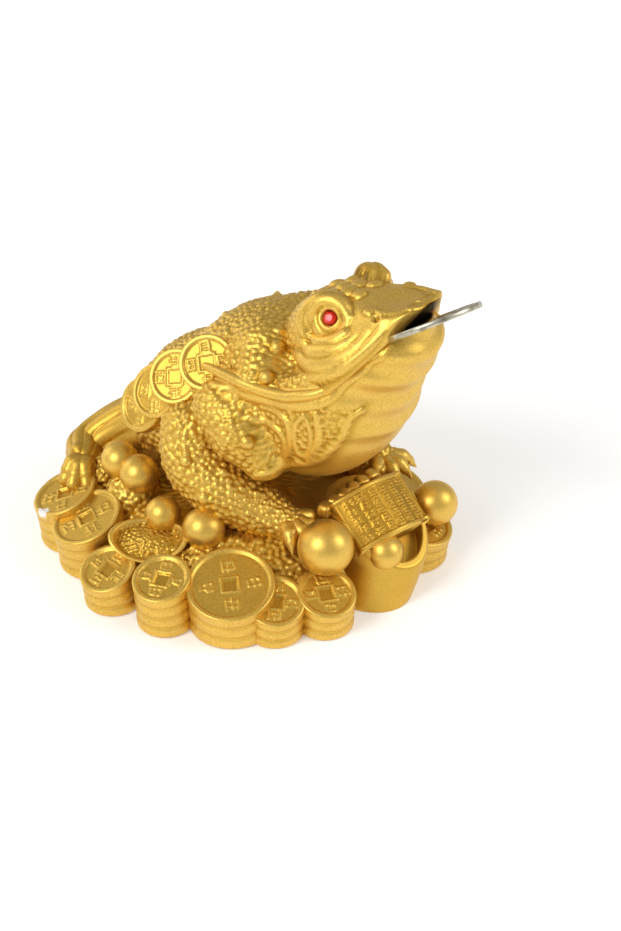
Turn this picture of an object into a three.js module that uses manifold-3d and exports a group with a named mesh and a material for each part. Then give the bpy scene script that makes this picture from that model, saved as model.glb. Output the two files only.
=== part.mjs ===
// Money toad figure: a three-legged toad of cast resin, painted gold, on a round heap of coins.
// It holds a loose metal coin in its mouth and has two red glass gems for eyes.
// Millimetres. +X is the way the toad faces, +Y is its left, +Z is up.
// The origin is the centre of the flat underside.
import * as THREE from "three";
import { mergeVertices } from "three/addons/utils/BufferGeometryUtils.js";
import Module from "manifold-3d";

// Driving dimensions
const toadHeight = 41;
const heapRadius = 30.3;
const heapCrown = 9.4;
const coinDiameter = 10;
const bigCoinDiameter = 12.6;
const smallCoinDiameter = 8.4;
const coinThickness = 2.1;
const bigCoinThickness = 2.7;
const stackLean = 22;
const upperLean = 18;
const coinRim = 0.8;
const coinRecess = 0.35;
const coinHole = 2;
const coinHoleDepth = 0.4;
const strungCoinDiameter = 8.2;
const strungCoinThickness = 1.6;
const bigPearlDiameter = 8;
const pearlDiameter = 5.4;
const ingotWidth = 13;
const ingotLength = 17;
const ingotFront = 6.3;
const ingotPitch = 35;
const ingotRim = 0.8;
const ingotHollow = 2;
const bridgeRise = 2.2;
const smallIngotLength = 11.5;
const smallIngotHeight = 4;
const beadSize = 1.9;
const mouthCoinDiameter = 13.4;
const mouthCoinThickness = 0.9;
const mouthCoinPitch = 36;
const mouthCoinRoll = -8;
const gemDiameter = 2.1;
const fitGap = 0.3;

// The toad is carved on a grid of 41 squares from the crown of the heap to the top of its head.
// Squares are counted up from the ground, so that the crown of the heap is at 9.4 of them.
const squaresHigh = 41;
const crownSquare = 9.4;
const grid = toadHeight / squaresHigh;
const degree = Math.PI / 180;
const vec = (x, y, z) => new THREE.Vector3(x, y, z);
const carved = ([x, y, z]) => vec(x * grid, y * grid, (z - crownSquare) * grid + heapCrown);

const wasm = await Module();
wasm.setup();

function solidOf(geometry) {
  const bare = geometry.clone();
  bare.deleteAttribute("normal");
  bare.deleteAttribute("uv");
  const merged = mergeVertices(bare, 1e-4);
  const mesh = new wasm.Mesh({
    numProp: 3,
    vertProperties: new Float32Array(merged.attributes.position.array),
    triVerts: new Uint32Array(merged.index.array),
  });
  return new wasm.Manifold(mesh);
}

function geometryOf(solid) {
  const mesh = solid.getMesh();
  const geometry = new THREE.BufferGeometry();
  geometry.setAttribute("position", new THREE.BufferAttribute(new Float32Array(mesh.vertProperties), 3));
  geometry.setIndex(new THREE.BufferAttribute(new Uint32Array(mesh.triVerts), 1));
  geometry.computeVertexNormals();
  return geometry;
}

// A closed skin from rings of points, with a single point at either end
function closedSkin(first, rings, last) {
  const points = [first, ...rings.flat(), last];
  const columns = rings[0].length;
  const triangles = [];
  const at = (row, column) => 1 + row * columns + (column % columns);
  for (let c = 0; c < columns; c++) {
    triangles.push(0, at(0, c + 1), at(0, c));
    triangles.push(points.length - 1, at(rings.length - 1, c), at(rings.length - 1, c + 1));
  }
  for (let r = 0; r + 1 < rings.length; r++) {
    for (let c = 0; c < columns; c++) {
      triangles.push(at(r, c), at(r, c + 1), at(r + 1, c + 1));
      triangles.push(at(r, c), at(r + 1, c + 1), at(r + 1, c));
    }
  }
  const geometry = new THREE.BufferGeometry();
  const places = points.flatMap((point) => point.toArray());
  geometry.setAttribute("position", new THREE.Float32BufferAttribute(places, 3));
  geometry.setIndex(triangles);
  return geometry;
}

// Forms of the carving, in squares of the grid, each a distance that is negative inside
const clamp = (value, low, high) => Math.min(high, Math.max(low, value));
const mirrored = (point) => [point[0], Math.abs(point[1]), point[2]];

// An ellipsoid whose long radius is pitched up by an angle in the side view
function egg(p, centre, radii, pitch) {
  const dx = p[0] - centre[0];
  const dz = p[2] - centre[2];
  const a = (dx * Math.cos(pitch * degree) + dz * Math.sin(pitch * degree)) / radii[0];
  const b = (p[1] - centre[1]) / radii[1];
  const c = (-dx * Math.sin(pitch * degree) + dz * Math.cos(pitch * degree)) / radii[2];
  const k0 = Math.hypot(a, b, c);
  const k1 = Math.hypot(a / radii[0], b / radii[1], c / radii[2]);
  return k0 < 1e-6 ? -Math.min(...radii) : (k0 * (k0 - 1)) / k1;
}

// Height over a plane that runs straight across the toad, through a place of the side view
function over(p, [x, z], pitch) {
  return (p[2] - z) * Math.cos(pitch * degree) - (p[0] - x) * Math.sin(pitch * degree);
}

// Two forms run into each other, or one taken out of the other, with a fillet of about that size
function blend(a, b, fillet) {
  const h = Math.max(fillet - Math.abs(a - b), 0) / fillet;
  return Math.min(a, b) - (h * h * fillet) / 4;
}
const blendAll = (distances, fillet) => distances.reduce((a, b) => blend(a, b, fillet));
const cutAway = (form, tool, fillet) => -blend(-form, tool, fillet);

// Corner of the mouth in the side view, and the pitches of the jaw and of the lips from there
const lipCorner = [29.6, 45.3];
const jawPitch = 33;
const lipPitch = 53;

// Trunk, throat and lower jaw. The throat has soft creases and there are domes behind the head.
const throatCrease = 4.6;
const throatCreaseDepth = 0.3;
const napeDomes = [[7.4, 5.4, 36.2], [9.4, 9.2, 33.4]];
const domeRadius = 2.8;

function trunkForm(point) {
  const p = mirrored(point);
  const throat = blendAll([
    egg(p, [16.8, 0, 30], [15.4, 11.8, 10], 62),
    egg(p, [24.4, 0, 40], [8.6, 7.6, 6.1], 40),
  ], 3);
  const front = clamp((p[0] - 22) / 5, 0, 1) * clamp((p[2] - 22) / 6, 0, 1);
  const crease = throatCreaseDepth * Math.cos((2 * Math.PI * (p[2] - p[1] / 4)) / throatCrease);
  const jaw = cutAway(throat - front * crease, -over(p, lipCorner, jawPitch), 0.6);
  const back = blendAll([
    egg(p, [5, 0, 26.5], [15, 12, 12], 36),
    egg(p, [-5.7, 0, 17.6], [14, 12.5, 12], 36),
  ], 3);
  const domes = napeDomes.map((centre) => egg(p, centre, [domeRadius, domeRadius, domeRadius], 0));
  return blendAll([jaw, back, ...domes], 3);
}

// Head: skull, flat-topped snout and eyeballs, cut off below along the line of the lips. The snout
// narrows to the front, where its distance ahead and its distance aside add up to the wedge.
const eyeCentre = [18.8, 3.8, 43.5];
const eyeRadius = 3.4;
const snoutTop = [28.5, 48.2];
const snoutPitch = 13;
const snoutWedge = 34.2;
const lipRoll = 0.5;

function headForm(point) {
  const p = mirrored(point);
  const snoutEgg = egg(p, [26.9, 0, 43.2], [8.4, 6.8, 6.6], lipPitch);
  const pointed = cutAway(snoutEgg, (snoutWedge - p[0] - p[1]) / Math.SQRT2, 1.6);
  const mass = blendAll([
    egg(p, [22.4, 0, 37], [11, 10, 10], lipPitch),
    cutAway(pointed, -over(p, snoutTop, snoutPitch), 0.8),
    egg(p, [15.8, 0, 40.3], [7.4, 7.2, 5], 36),
  ], 2);
  const overLips = over(p, lipCorner, lipPitch);
  const roll = lipRoll * Math.exp(-((overLips - 1) ** 2));
  const eyeball = egg(p, eyeCentre, [eyeRadius, eyeRadius, eyeRadius], 0);
  return cutAway(blend(mass - roll, eyeball, 0.8), overLips, 0.5);
}

// The end of the form on a ray, found by stepping in from outside and then by halving
function surfaceOn(form, origin, direction, reach) {
  const at = (r) => form(origin.clone().addScaledVector(direction, r).toArray());
  const step = reach / 40;
  let outer = reach;
  while (outer > step && at(outer - step) > 0) {
    outer -= step;
  }
  let inner = outer - step;
  for (let halving = 0; halving < 14; halving++) {
    const middle = (inner + outer) / 2;
    if (at(middle) > 0) {
      outer = middle;
    } else {
      inner = middle;
    }
  }
  return origin.clone().addScaledVector(direction, inner);
}

// The skin of a form: rays leave a straight core line all round and fan out past both of its ends
function carvedSkin(form, from, to, reach, fanRows, coreRows, columns) {
  const along = to.clone().sub(from).normalize();
  const side = vec(0, 1, 0);
  const up = along.clone().cross(side);
  const hit = (origin, direction) => carved(surfaceOn(form, origin, direction, reach).toArray());
  const ring = (origin, tilt) => Array.from({ length: columns }, (_, c) => {
    const turn = (2 * Math.PI * c) / columns;
    const across = up.clone().multiplyScalar(Math.cos(turn)).addScaledVector(side, -Math.sin(turn));
    return hit(origin, across.multiplyScalar(Math.cos(tilt)).addScaledVector(along, Math.sin(tilt)));
  });
  const rings = [];
  for (let r = 1; r < fanRows; r++) {
    rings.push(ring(from, ((r / fanRows - 1) * Math.PI) / 2));
  }
  for (let r = 0; r <= coreRows; r++) {
    rings.push(ring(from.clone().lerp(to, r / coreRows), 0));
  }
  for (let r = 1; r < fanRows; r++) {
    rings.push(ring(to, ((r / fanRows) * Math.PI) / 2));
  }
  return closedSkin(hit(from, along.clone().negate()), rings, hit(to, along));
}

// A limb: round sections of changing radius carried along a smooth curve, with round ends
function limb(points, radii, sides, steps) {
  const curve = new THREE.CatmullRomCurve3(points.map(carved));
  const endBevel = 0.7;
  const radiusAt = (t) => {
    const place = t * (radii.length - 1);
    const i = Math.min(Math.floor(place), radii.length - 2);
    return grid * THREE.MathUtils.lerp(radii[i], radii[i + 1], place - i);
  };
  const ring = (t, radius, push) => {
    const tangent = curve.getTangent(t);
    const side = tangent.clone().cross(vec(0, 0, 1)).normalize();
    const up = side.clone().cross(tangent);
    const centre = curve.getPoint(t).addScaledVector(tangent, push);
    return Array.from({ length: sides }, (_, c) => {
      const turn = (2 * Math.PI * c) / sides;
      const point = centre.clone().addScaledVector(up, radius * Math.cos(turn));
      return point.addScaledVector(side, radius * Math.sin(turn));
    });
  };
  const rings = [ring(0, radiusAt(0) * endBevel, -radiusAt(0) * endBevel)];
  for (let s = 0; s <= steps; s++) {
    rings.push(ring(s / steps, radiusAt(s / steps), 0));
  }
  rings.push(ring(1, radiusAt(1) * endBevel, radiusAt(1) * endBevel));
  const first = curve.getPoint(0).addScaledVector(curve.getTangent(0), -radiusAt(0));
  const last = curve.getPoint(1).addScaledVector(curve.getTangent(1), radiusAt(1));
  return closedSkin(first, rings, last);
}

// A rounded fold on the flank of a form, half sunk in it, along a line of the side view
function fold(form, line, radii, side) {
  const steps = 5;
  const sideways = vec(0, 1, 0);
  const width = 20;
  const sunk = 0.6;
  const points = line.getPoints(steps).map(({ x, y }) => {
    const flank = surfaceOn(form, vec(x, 0, y), sideways, width);
    return [flank.x, side * (flank.y - sunk * Math.max(...radii)), flank.z];
  });
  return limb(points, radii, 5, steps);
}
const bend = (...places) => {
  const [from, by, to] = places.map(([x, z]) => new THREE.Vector2(x, z));
  return new THREE.QuadraticBezierCurve(from, by, to);
};

const trunk = carvedSkin(trunkForm, vec(-6, 0, 19), vec(23, 0, 38), 26, 4, 9, 24);
const head = carvedSkin(headForm, vec(14, 0, 41), vec(25.5, 0, 46), 20, 5, 9, 28);
const toad = [trunk, head];

// On each flank: the brow, three folds round the eye, and the ribbon that runs back from the jaw
const cheekFolds = [
  bend([16, 42], [20.8, 39.6], [24.8, 45.6]),
  bend([14.5, 38.8], [22.4, 39], [26, 46]),
  bend([15.4, 35.6], [25.4, 38.4], [28.2, 47]),
];
const ribbon = bend([0.2, 31], [9, 34.2], [21.5, 35.4]);
const browRadii = [1, 1.4, 1.6, 1, 0.7];
const brow = [
  [16.8, 7.3, 41.4],
  [16, 6.2, 44.4],
  [18, 4.8, 46.8],
  [20.3, 4.4, 46.4],
  [22, 4.9, 45.4],
];
for (const side of [-1, 1]) {
  toad.push(limb(brow.map(([x, y, z]) => [x, side * y, z]), browRadii, 7, 8));
  for (const line of cheekFolds) {
    toad.push(fold(headForm, line, [0.8, 1.3, 0.8], side));
  }
  toad.push(fold(trunkForm, ribbon, [0.9, 1.2, 1.3], side));
}

// A string of coins goes down each side of the rump, every coin lying on the next. The first one
// faces forward and the others turn further back.
const stringOfCoins = [[1.1, 10.2, 32.9], [-5.4, 9.7, 27.8], [-8.1, 10.9, 24.9], [-10.1, 11.8, 22.2]];
for (const side of [-1, 1]) {
  for (const [number, [x, y, z]] of stringOfCoins.entries()) {
    const radius = strungCoinDiameter / 2;
    const coin = new THREE.CylinderGeometry(radius - coinRecess, radius, strungCoinThickness, 10);
    const facing = [0.3 - 0.14 * number, 0.7 + 0.05 * number, 0.65 - 0.05 * number];
    const outward = vec(facing[0], side * facing[1], facing[2]).normalize();
    coin.applyQuaternion(new THREE.Quaternion().setFromUnitVectors(vec(0, 1, 0), outward));
    toad.push(coin.translate(...carved([x, side * y, z]).toArray()));
  }
}

// Forelegs: shoulder lobe, forearm, hand and four clawed toes on each side
const toeSpread = [-60, -20, 8, 42];
const toeLength = 5;
for (const side of [-1, 1]) {
  const mirror = (points) => points.map(([x, y, z]) => [x, side * y, z]);
  const hand = side < 0 ? [14.6, 9.4, 11] : [16.2, 10.1, 12.4];
  const shoulder = [[4.5, 10.5, 27.5], [8, 10.8, 25], [11, 10, 21.5]];
  const forearm = [[-1, 11.5, 21.5], [0.5, 12.5, 18], [5, 12.2, 14.6], [10.4, 10.3, 12]];
  toad.push(limb(mirror(shoulder), [4.6, 5, 3.6], 10, 4));
  toad.push(limb(mirror(forearm), [4.6, 5, 4.9, 3.8], 10, 6));
  toad.push(limb(mirror([[10, 10.4, 11.6], hand]), [3.4, 2.6], 8, 1));
  for (const spread of toeSpread) {
    const ahead = Math.cos(spread * degree) * toeLength;
    const aside = Math.sin(spread * degree) * toeLength;
    const root = [hand[0] - 0.7, hand[1], hand[2]];
    const knuckle = [hand[0] + 0.55 * ahead, hand[1] + 0.55 * aside, hand[2] + 0.3];
    const tip = [hand[0] + ahead, hand[1] + aside, hand[2] - 1.2];
    toad.push(limb(mirror([root, knuckle, tip]), [1.5, 1.2, 0.5], 5, 2));
  }
}

// Hind leg, the only one: it comes round the right of the rump and its foot lies on the coins
const hindLeg = [[-11, -3, 14.8], [-18.6, -6.6, 12], [-22.3, -11.2, 9.8], [-20.4, -14.6, 10]];
toad.push(limb(hindLeg, [6.1, 5, 3.7, 2.5], 10, 7));
const foot = [-19.8, -15.2, 9.4];
for (const [x, y] of [[-19.8, -19.2], [-18, -19.4], [-16.4, -18.2]]) {
  const knuckle = [(x + foot[0]) / 2, (y + foot[1]) / 2, 10.5];
  toad.push(limb([foot, knuckle, [x, y, 8.9]], [1.7, 1.6, 1.1], 5, 2));
}

// Heap: a low mound with the stacks of coins round it
const moundRadius = heapRadius - coinDiameter / 2;
const mound = new THREE.LatheGeometry([
  new THREE.Vector2(0, 0),
  new THREE.Vector2(moundRadius, 0),
  new THREE.Vector2(moundRadius, 2 * coinThickness),
  new THREE.Vector2(0.88 * moundRadius, 3.7 * coinThickness),
  new THREE.Vector2(0.7 * moundRadius, heapCrown),
  new THREE.Vector2(0, heapCrown),
], 12).rotateX(Math.PI / 2).scale(0.93, 0.88, 1).translate(0.04 * heapRadius, -0.07 * heapRadius, 0);
const heap = [mound];

// A lump of the mound carries the two high pearls, and another lies under the hind leg
const lump = new THREE.SphereGeometry(0.44 * coinDiameter, 7, 5);
heap.push(lump.translate(0.6 * heapRadius, 0, heapCrown - 1.4).rotateZ(-122 * degree));
const legLump = new THREE.SphereGeometry(1, 7, 5).scale(5.4, 3.3, 3.6);
heap.push(legLump.rotateZ(-80 * degree).translate(-0.56 * heapRadius, -0.4 * heapRadius, heapCrown - 1.6));

// Share of a coin's radius by which the top coin of a stack sits further out than the bottom one
const stackDrift = 0.22;

// A stack of coins: rings that lean outwards as they rise, with a groove between coins
// and a raised rim on the top one where it shows
function stack({ angle, edge, diameter, count, thickness, tilt, sides, rimmed }) {
  const radius = diameter / 2;
  const height = count * thickness;
  const groove = 0.19 * coinThickness;
  const outward = vec(Math.cos(angle * degree), Math.sin(angle * degree), 0);
  const sideways = vec(-outward.y, outward.x, 0);
  const ring = (share, ringRadius) => {
    const lean = share * tilt * degree;
    const centre = outward.clone().multiplyScalar(edge - radius + share * share * stackDrift * radius);
    return Array.from({ length: sides }, (_, c) => {
      const turn = (2 * Math.PI * c) / sides;
      const out = ringRadius * Math.cos(turn);
      const point = centre.clone().addScaledVector(outward, out * Math.cos(lean));
      point.addScaledVector(sideways, ringRadius * Math.sin(turn));
      point.z = Math.max(share * height - out * Math.sin(lean), share / 2);
      return point;
    });
  };
  const rings = [ring(0, radius - groove / 2)];
  for (let coin = 0; coin < count; coin++) {
    rings.push(ring((coin + 0.5) / count, radius));
    if (coin + 1 < count) {
      rings.push(ring((coin + 1) / count, radius - groove));
    }
  }
  rings.push(ring(1, radius - groove / 2));
  if (rimmed) {
    rings.push(ring(1, radius - coinRim));
    rings.push(ring(1 - coinRecess / height, radius - coinRim - coinRecess / 2));
  }
  const middleOf = (points) => points.reduce((p, q) => p.clone().add(q)).multiplyScalar(1 / points.length);
  return closedSkin(middleOf(rings[0]), rings, middleOf(rings[rings.length - 1]));
}

// The stacks in front: direction, edge as a share of the heap's radius, diameter, coins and their
// thickness, and lean
const frontStacks = [
  [-131, 1.05, coinDiameter, 4, coinThickness, stackLean],
  [-116, 1.005, 1.08 * coinDiameter, 4, coinThickness, stackLean],
  [-95, 1.06, smallCoinDiameter, 3, coinThickness, stackLean],
  [-76, 1.045, smallCoinDiameter, 4, coinThickness, upperLean],
  [-56, 1.045, bigCoinDiameter, 3, bigCoinThickness, upperLean],
  [-43, 1.046, smallCoinDiameter, 3, coinThickness, stackLean],
  [-28, 1.05, smallCoinDiameter, 3, coinThickness, stackLean],
  [18, 1.01, coinDiameter, 3, 1.05 * coinThickness, stackLean],
];
const squareHoles = [];
for (const [angle, edgeShare, diameter, count, thickness, tilt] of frontStacks) {
  const sides = diameter < coinDiameter ? 11 : 12;
  const edge = edgeShare * heapRadius;
  heap.push(stack({ angle, edge, diameter, count, thickness, tilt, sides, rimmed: true }));
  const out = edge - (diameter / 2) * (1 - stackDrift);
  const hole = new THREE.BoxGeometry(coinHole, coinHole, 2 * (coinHoleDepth + coinRecess));
  hole.rotateY(tilt * degree).translate(out, 0, count * thickness).rotateZ(angle * degree);
  squareHoles.push(hole);
}

// Behind, the heap draws in to an oval and its coins are plain
const hiddenStacks = 7;
const hiddenFrom = 42;
const hiddenStep = 27.5;
for (let i = 0; i < hiddenStacks; i++) {
  const angle = hiddenFrom + i * hiddenStep;
  const [ahead, aside] = [Math.cos(angle * degree), Math.sin(angle * degree)];
  const edge = heapRadius / Math.hypot(ahead / 0.93, aside / 0.76);
  const plain = { count: 3, thickness: coinThickness, tilt: stackLean, sides: 9, rimmed: false };
  heap.push(stack({ angle, edge, diameter: 1.2 * coinDiameter, ...plain }));
}

// Pearls: direction, distance as a share of the heap's radius, height over the crown, and diameter
const pearls = [
  [-25, 0.823, 1.8, bigPearlDiameter],
  [21.8, 0.93, -0.6, 1.24 * pearlDiameter],
  [-92.5, 0.614, 1.4, 0.96 * pearlDiameter],
  [-71.5, 0.6, 1.1, 1.14 * pearlDiameter],
  [-129.1, 0.644, 4, 1.04 * pearlDiameter],
  [-116.6, 0.582, 3.8, 1.07 * pearlDiameter],
];
for (const [angle, share, lift, diameter] of pearls) {
  const out = share * heapRadius;
  const pearl = new THREE.SphereGeometry(diameter / 2, 10, 6);
  heap.push(pearl.translate(out, 0, heapCrown + lift).rotateZ(angle * degree));
}

// Small boat-shaped ingot: hull, raised ends, rim and filled middle
function smallIngot() {
  const sides = 14;
  const endLift = smallIngotHeight / 4;
  const ring = (share, height, lift) => Array.from({ length: sides }, (_, c) => {
    const turn = (2 * Math.PI * c) / sides;
    const half = (share * smallIngotLength) / 2;
    return vec(half * Math.cos(turn), 0.64 * half * Math.sin(turn), height + lift * Math.cos(turn) ** 2);
  });
  const rings = [
    ring(0.6, -smallIngotHeight, 0),
    ring(0.84, -smallIngotHeight / 2, 0),
    ring(1, 0, endLift),
    ring(0.88, 0, endLift),
    ring(0.7, -endLift / 2, 0),
  ];
  return closedSkin(vec(0, 0, -smallIngotHeight), rings, vec(0, 0, endLift / 2));
}
const smallIngotPlace = smallIngot().rotateX(24 * degree).rotateZ(36 * degree);
heap.push(smallIngotPlace.translate(0, -0.746 * heapRadius, heapCrown - 0.6));

// The big ingot leans back under the throat: a boat-shaped hull with a hollow, an arched bridge
// across the hollow, and a pearl in front of the bridge. Under the belly its rim is level, and the
// foot of its hull sits to the toad's right of the rim.
const ingotTurn = -12;
const ingotSlope = Math.tan(ingotPitch * degree);
const ingotOut = 0.76 * heapRadius;
const ingotTop = heapCrown + 3;
const placeIngot = (geometry) => geometry.rotateZ(ingotTurn * degree).translate(ingotOut, 0.6, 0);
const hullSides = 20;
const hullLean = 2.4;
const hullRing = (share, rimHeight, footShare) => Array.from({ length: hullSides }, (_, c) => {
  const turn = (2 * Math.PI * c) / hullSides;
  const out = (share * ingotLength * Math.cos(turn)) / 2;
  const sloped = rimHeight + (ingotLength / 2 - out) * ingotSlope;
  const rise = rimHeight === 0 ? 0 : Math.min(sloped, ingotTop);
  return vec(out, (share * ingotWidth * Math.sin(turn)) / 2 - footShare * hullLean, rise);
});
const rimShare = 1 - (2 * ingotRim) / ingotWidth;
heap.push(placeIngot(closedSkin(
  vec(0, 0, 0),
  [
    hullRing(0.97, 0, 1),
    hullRing(0.99, 0.35 * ingotFront, 0.6),
    hullRing(1, ingotFront, 0),
    hullRing(rimShare, ingotFront, 0),
    hullRing(rimShare - 0.06, ingotFront - ingotHollow, 0),
  ],
  vec(0, 0, ingotFront + (ingotLength / 2) * ingotSlope - ingotHollow),
)));

const bridgeHalf = ingotWidth / 2 - fitGap;
const bridgeStart = 0.25 * ingotLength;
const bridgeFoot = -ingotHollow - 0.5;
const bridgeShape = new THREE.Shape();
bridgeShape.moveTo(-bridgeHalf, bridgeFoot);
bridgeShape.lineTo(bridgeHalf, bridgeFoot);
bridgeShape.lineTo(bridgeHalf, 0);
bridgeShape.quadraticCurveTo(0, 2 * bridgeRise, -bridgeHalf, 0);
const bridge = new THREE.ExtrudeGeometry(bridgeShape, {
  depth: 0.5 * ingotLength,
  bevelEnabled: false,
  curveSegments: 6,
});
const upSlope = vec(-Math.cos(ingotPitch * degree), 0, Math.sin(ingotPitch * degree));
const offSlope = vec(Math.sin(ingotPitch * degree), 0, Math.cos(ingotPitch * degree));
bridge.applyMatrix4(new THREE.Matrix4().makeBasis(vec(0, -1, 0), offSlope, upSlope));
bridge.translate(ingotLength / 2 - bridgeStart, 0, ingotFront + bridgeStart * ingotSlope);
heap.push(placeIngot(bridge));
const ingotPearl = new THREE.SphereGeometry(pearlDiameter / 2, 10, 6);
heap.push(placeIngot(ingotPearl.translate(0.27 * ingotLength, -0.18 * ingotWidth, 1.24 * ingotFront)));

// Beads on a string across the front of the belly, over the far end of the ingot
const beadCount = 7;
const beadPitch = 1.1 * beadSize;
for (let i = 0; i < beadCount; i++) {
  const bead = new THREE.BoxGeometry(beadSize, beadSize, beadSize);
  heap.push(bead.rotateZ(i * 0.3).translate(0.6 * heapRadius, (i - 2.4) * beadPitch, heapCrown + 3.2));
}

// The coin in the mouth lies on the lower lip, and its back edge is in a slot inside the mouth
const mouthCoinPlace = carved([32.3, 0, 46.6]);
const mouthCoinTurn = new THREE.Quaternion().setFromAxisAngle(vec(0, 1, 0), -mouthCoinPitch * degree);
const mouthCoinLean = new THREE.Euler(Math.PI / 2 + mouthCoinRoll * degree, 0, 0);
mouthCoinTurn.multiply(new THREE.Quaternion().setFromEuler(mouthCoinLean));
const disc = (radius, thickness) => new THREE.CylinderGeometry(radius, radius, thickness, 28);
const mouthSlot = disc(mouthCoinDiameter / 2 + fitGap, mouthCoinThickness + 2 * fitGap);
mouthSlot.applyQuaternion(mouthCoinTurn).translate(...mouthCoinPlace.toArray());

// Each gem sits half sunk in a round socket at the front of its eyeball
const gemPlace = (side) => {
  const look = vec(0.29, side * 0.76, 0.58).normalize();
  const eye = carved([eyeCentre[0], side * eyeCentre[1], eyeCentre[2]]);
  return eye.addScaledVector(look, eyeRadius * grid - 0.1 * gemDiameter);
};
const socket = (side) => {
  const ball = new THREE.SphereGeometry(gemDiameter / 2 + fitGap, 10, 7);
  return ball.translate(...gemPlace(side).toArray());
};

const cast = wasm.Manifold.union([...toad, ...heap].map(solidOf));
const cuts = [mouthSlot, socket(-1), socket(1), ...squareHoles];
const figureSolid = cast.subtract(wasm.Manifold.union(cuts.map(solidOf)));

const gold = new THREE.MeshStandardMaterial({ color: 0xd4a437, roughness: 0.35, metalness: 0.8 });
const figure = new THREE.Mesh(geometryOf(figureSolid), gold);
figure.name = "figure";

const brass = new THREE.MeshStandardMaterial({ color: 0xa59f8c, roughness: 0.35, metalness: 1 });
const mouthCoin = new THREE.Mesh(disc(mouthCoinDiameter / 2, mouthCoinThickness), brass);
mouthCoin.name = "mouth_coin";
mouthCoin.position.copy(mouthCoinPlace);
mouthCoin.quaternion.copy(mouthCoinTurn);

const ruby = new THREE.MeshStandardMaterial({ color: 0xc81e28, roughness: 0.1, metalness: 0 });
const gems = [[-1, "eye_gem_right"], [1, "eye_gem_left"]].map(([side, name]) => {
  const gem = new THREE.Mesh(new THREE.SphereGeometry(gemDiameter / 2, 8, 6), ruby);
  gem.name = name;
  gem.position.copy(gemPlace(side));
  return gem;
});

const model = new THREE.Group();
model.add(figure, mouthCoin, ...gems);
export default model;
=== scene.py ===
"""Money toad: a three-legged toad of cast resin, painted gold, on a heap of coins, a loose coin in its mouth.

The carving is worked out in millimetres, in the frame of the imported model, and put into metres at the end.
"""

import math

import bpy
import numpy as np
from mathutils import Matrix, Vector


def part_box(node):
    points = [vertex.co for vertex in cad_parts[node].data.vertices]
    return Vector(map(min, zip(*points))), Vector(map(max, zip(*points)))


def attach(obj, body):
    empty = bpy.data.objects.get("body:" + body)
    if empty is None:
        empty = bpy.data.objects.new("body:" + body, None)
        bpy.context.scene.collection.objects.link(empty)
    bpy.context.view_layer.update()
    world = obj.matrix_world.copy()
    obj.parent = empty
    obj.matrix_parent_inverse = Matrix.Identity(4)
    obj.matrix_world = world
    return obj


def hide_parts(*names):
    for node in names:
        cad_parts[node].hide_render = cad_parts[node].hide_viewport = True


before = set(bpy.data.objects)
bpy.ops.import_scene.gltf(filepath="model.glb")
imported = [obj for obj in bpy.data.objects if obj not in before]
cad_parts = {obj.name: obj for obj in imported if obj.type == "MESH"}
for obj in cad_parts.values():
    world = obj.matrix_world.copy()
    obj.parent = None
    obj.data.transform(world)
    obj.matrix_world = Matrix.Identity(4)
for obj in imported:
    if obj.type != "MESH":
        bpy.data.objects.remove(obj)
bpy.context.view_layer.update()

MM = 0.001

# Camera
# It stands to the right of the toad's front and above it, a good 30 cm away, with a long lens.
# It is turned so that the middle of the heap falls left of the middle of the frame and above it.
frame_width, frame_height = 621, 931
focal_length_px = 2189.4
sensor_long_side = 36
camera_azimuth, camera_elevation, camera_distance = math.radians(41), math.radians(33), 320
aim = Vector((0, 0, 20))
aim_px = (251.551, 406.007)


def direction(azimuth, elevation):
    """Unit vector from the figure to a place round it: azimuth 0 is before the -Y side, angles in radians."""
    flat = math.cos(elevation)
    return Vector((math.sin(azimuth) * flat, -math.cos(azimuth) * flat, math.sin(elevation)))


back = direction(camera_azimuth, camera_elevation)
right = Vector((0, 0, 1)).cross(back).normalized()
up = back.cross(right)
off_right = (aim_px[0] - frame_width / 2) / focal_length_px
off_down = (aim_px[1] - frame_height / 2) / focal_length_px
turned_back = (back + off_right * right - off_down * up).normalized()
turned_right = Vector((0, 0, 1)).cross(turned_back).normalized()
turned_up = turned_back.cross(turned_right)

camera_data = bpy.data.cameras.new("camera")
camera_data.sensor_width = sensor_long_side
camera_data.lens = focal_length_px * sensor_long_side / frame_height
camera_data.clip_start, camera_data.clip_end = 0.01, 10
camera = bpy.data.objects.new("camera", camera_data)
camera.matrix_world = (
    Matrix.Translation((aim + camera_distance * back) * MM)
    @ Matrix((turned_right, turned_up, turned_back)).transposed().to_4x4()
)
bpy.context.scene.collection.objects.link(camera)
bpy.context.scene.camera = camera

# Floor and light
# A plain white table and three white panels: a big one at the left, one beside the camera, one at the right.
# There is little light from straight above, so that the tops of the pearls stay deep in colour. The table
# glows a little, which keeps it white.
floor_size = 3
floor_mesh = bpy.data.meshes.new("floor")
floor_half = floor_size / 2
floor_corners = [(-1, -1), (1, -1), (1, 1), (-1, 1)]
floor_mesh.from_pydata([(x * floor_half, y * floor_half, 0) for x, y in floor_corners], [], [(0, 1, 2, 3)])
floor = bpy.data.objects.new("floor", floor_mesh)
bpy.context.scene.collection.objects.link(floor)
floor_paint = bpy.data.materials.new("white_table")
floor_paint.use_nodes = True
floor_shader = floor_paint.node_tree.nodes["Principled BSDF"]
floor_shader.inputs["Base Color"].default_value = (0.93, 0.93, 0.93, 1)
floor_shader.inputs["Roughness"].default_value = 0.7
floor_shader.inputs["Emission Color"].default_value = (1, 1, 1, 1)
floor_shader.inputs["Emission Strength"].default_value = 0.25
floor_mesh.materials.append(floor_paint)


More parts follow.
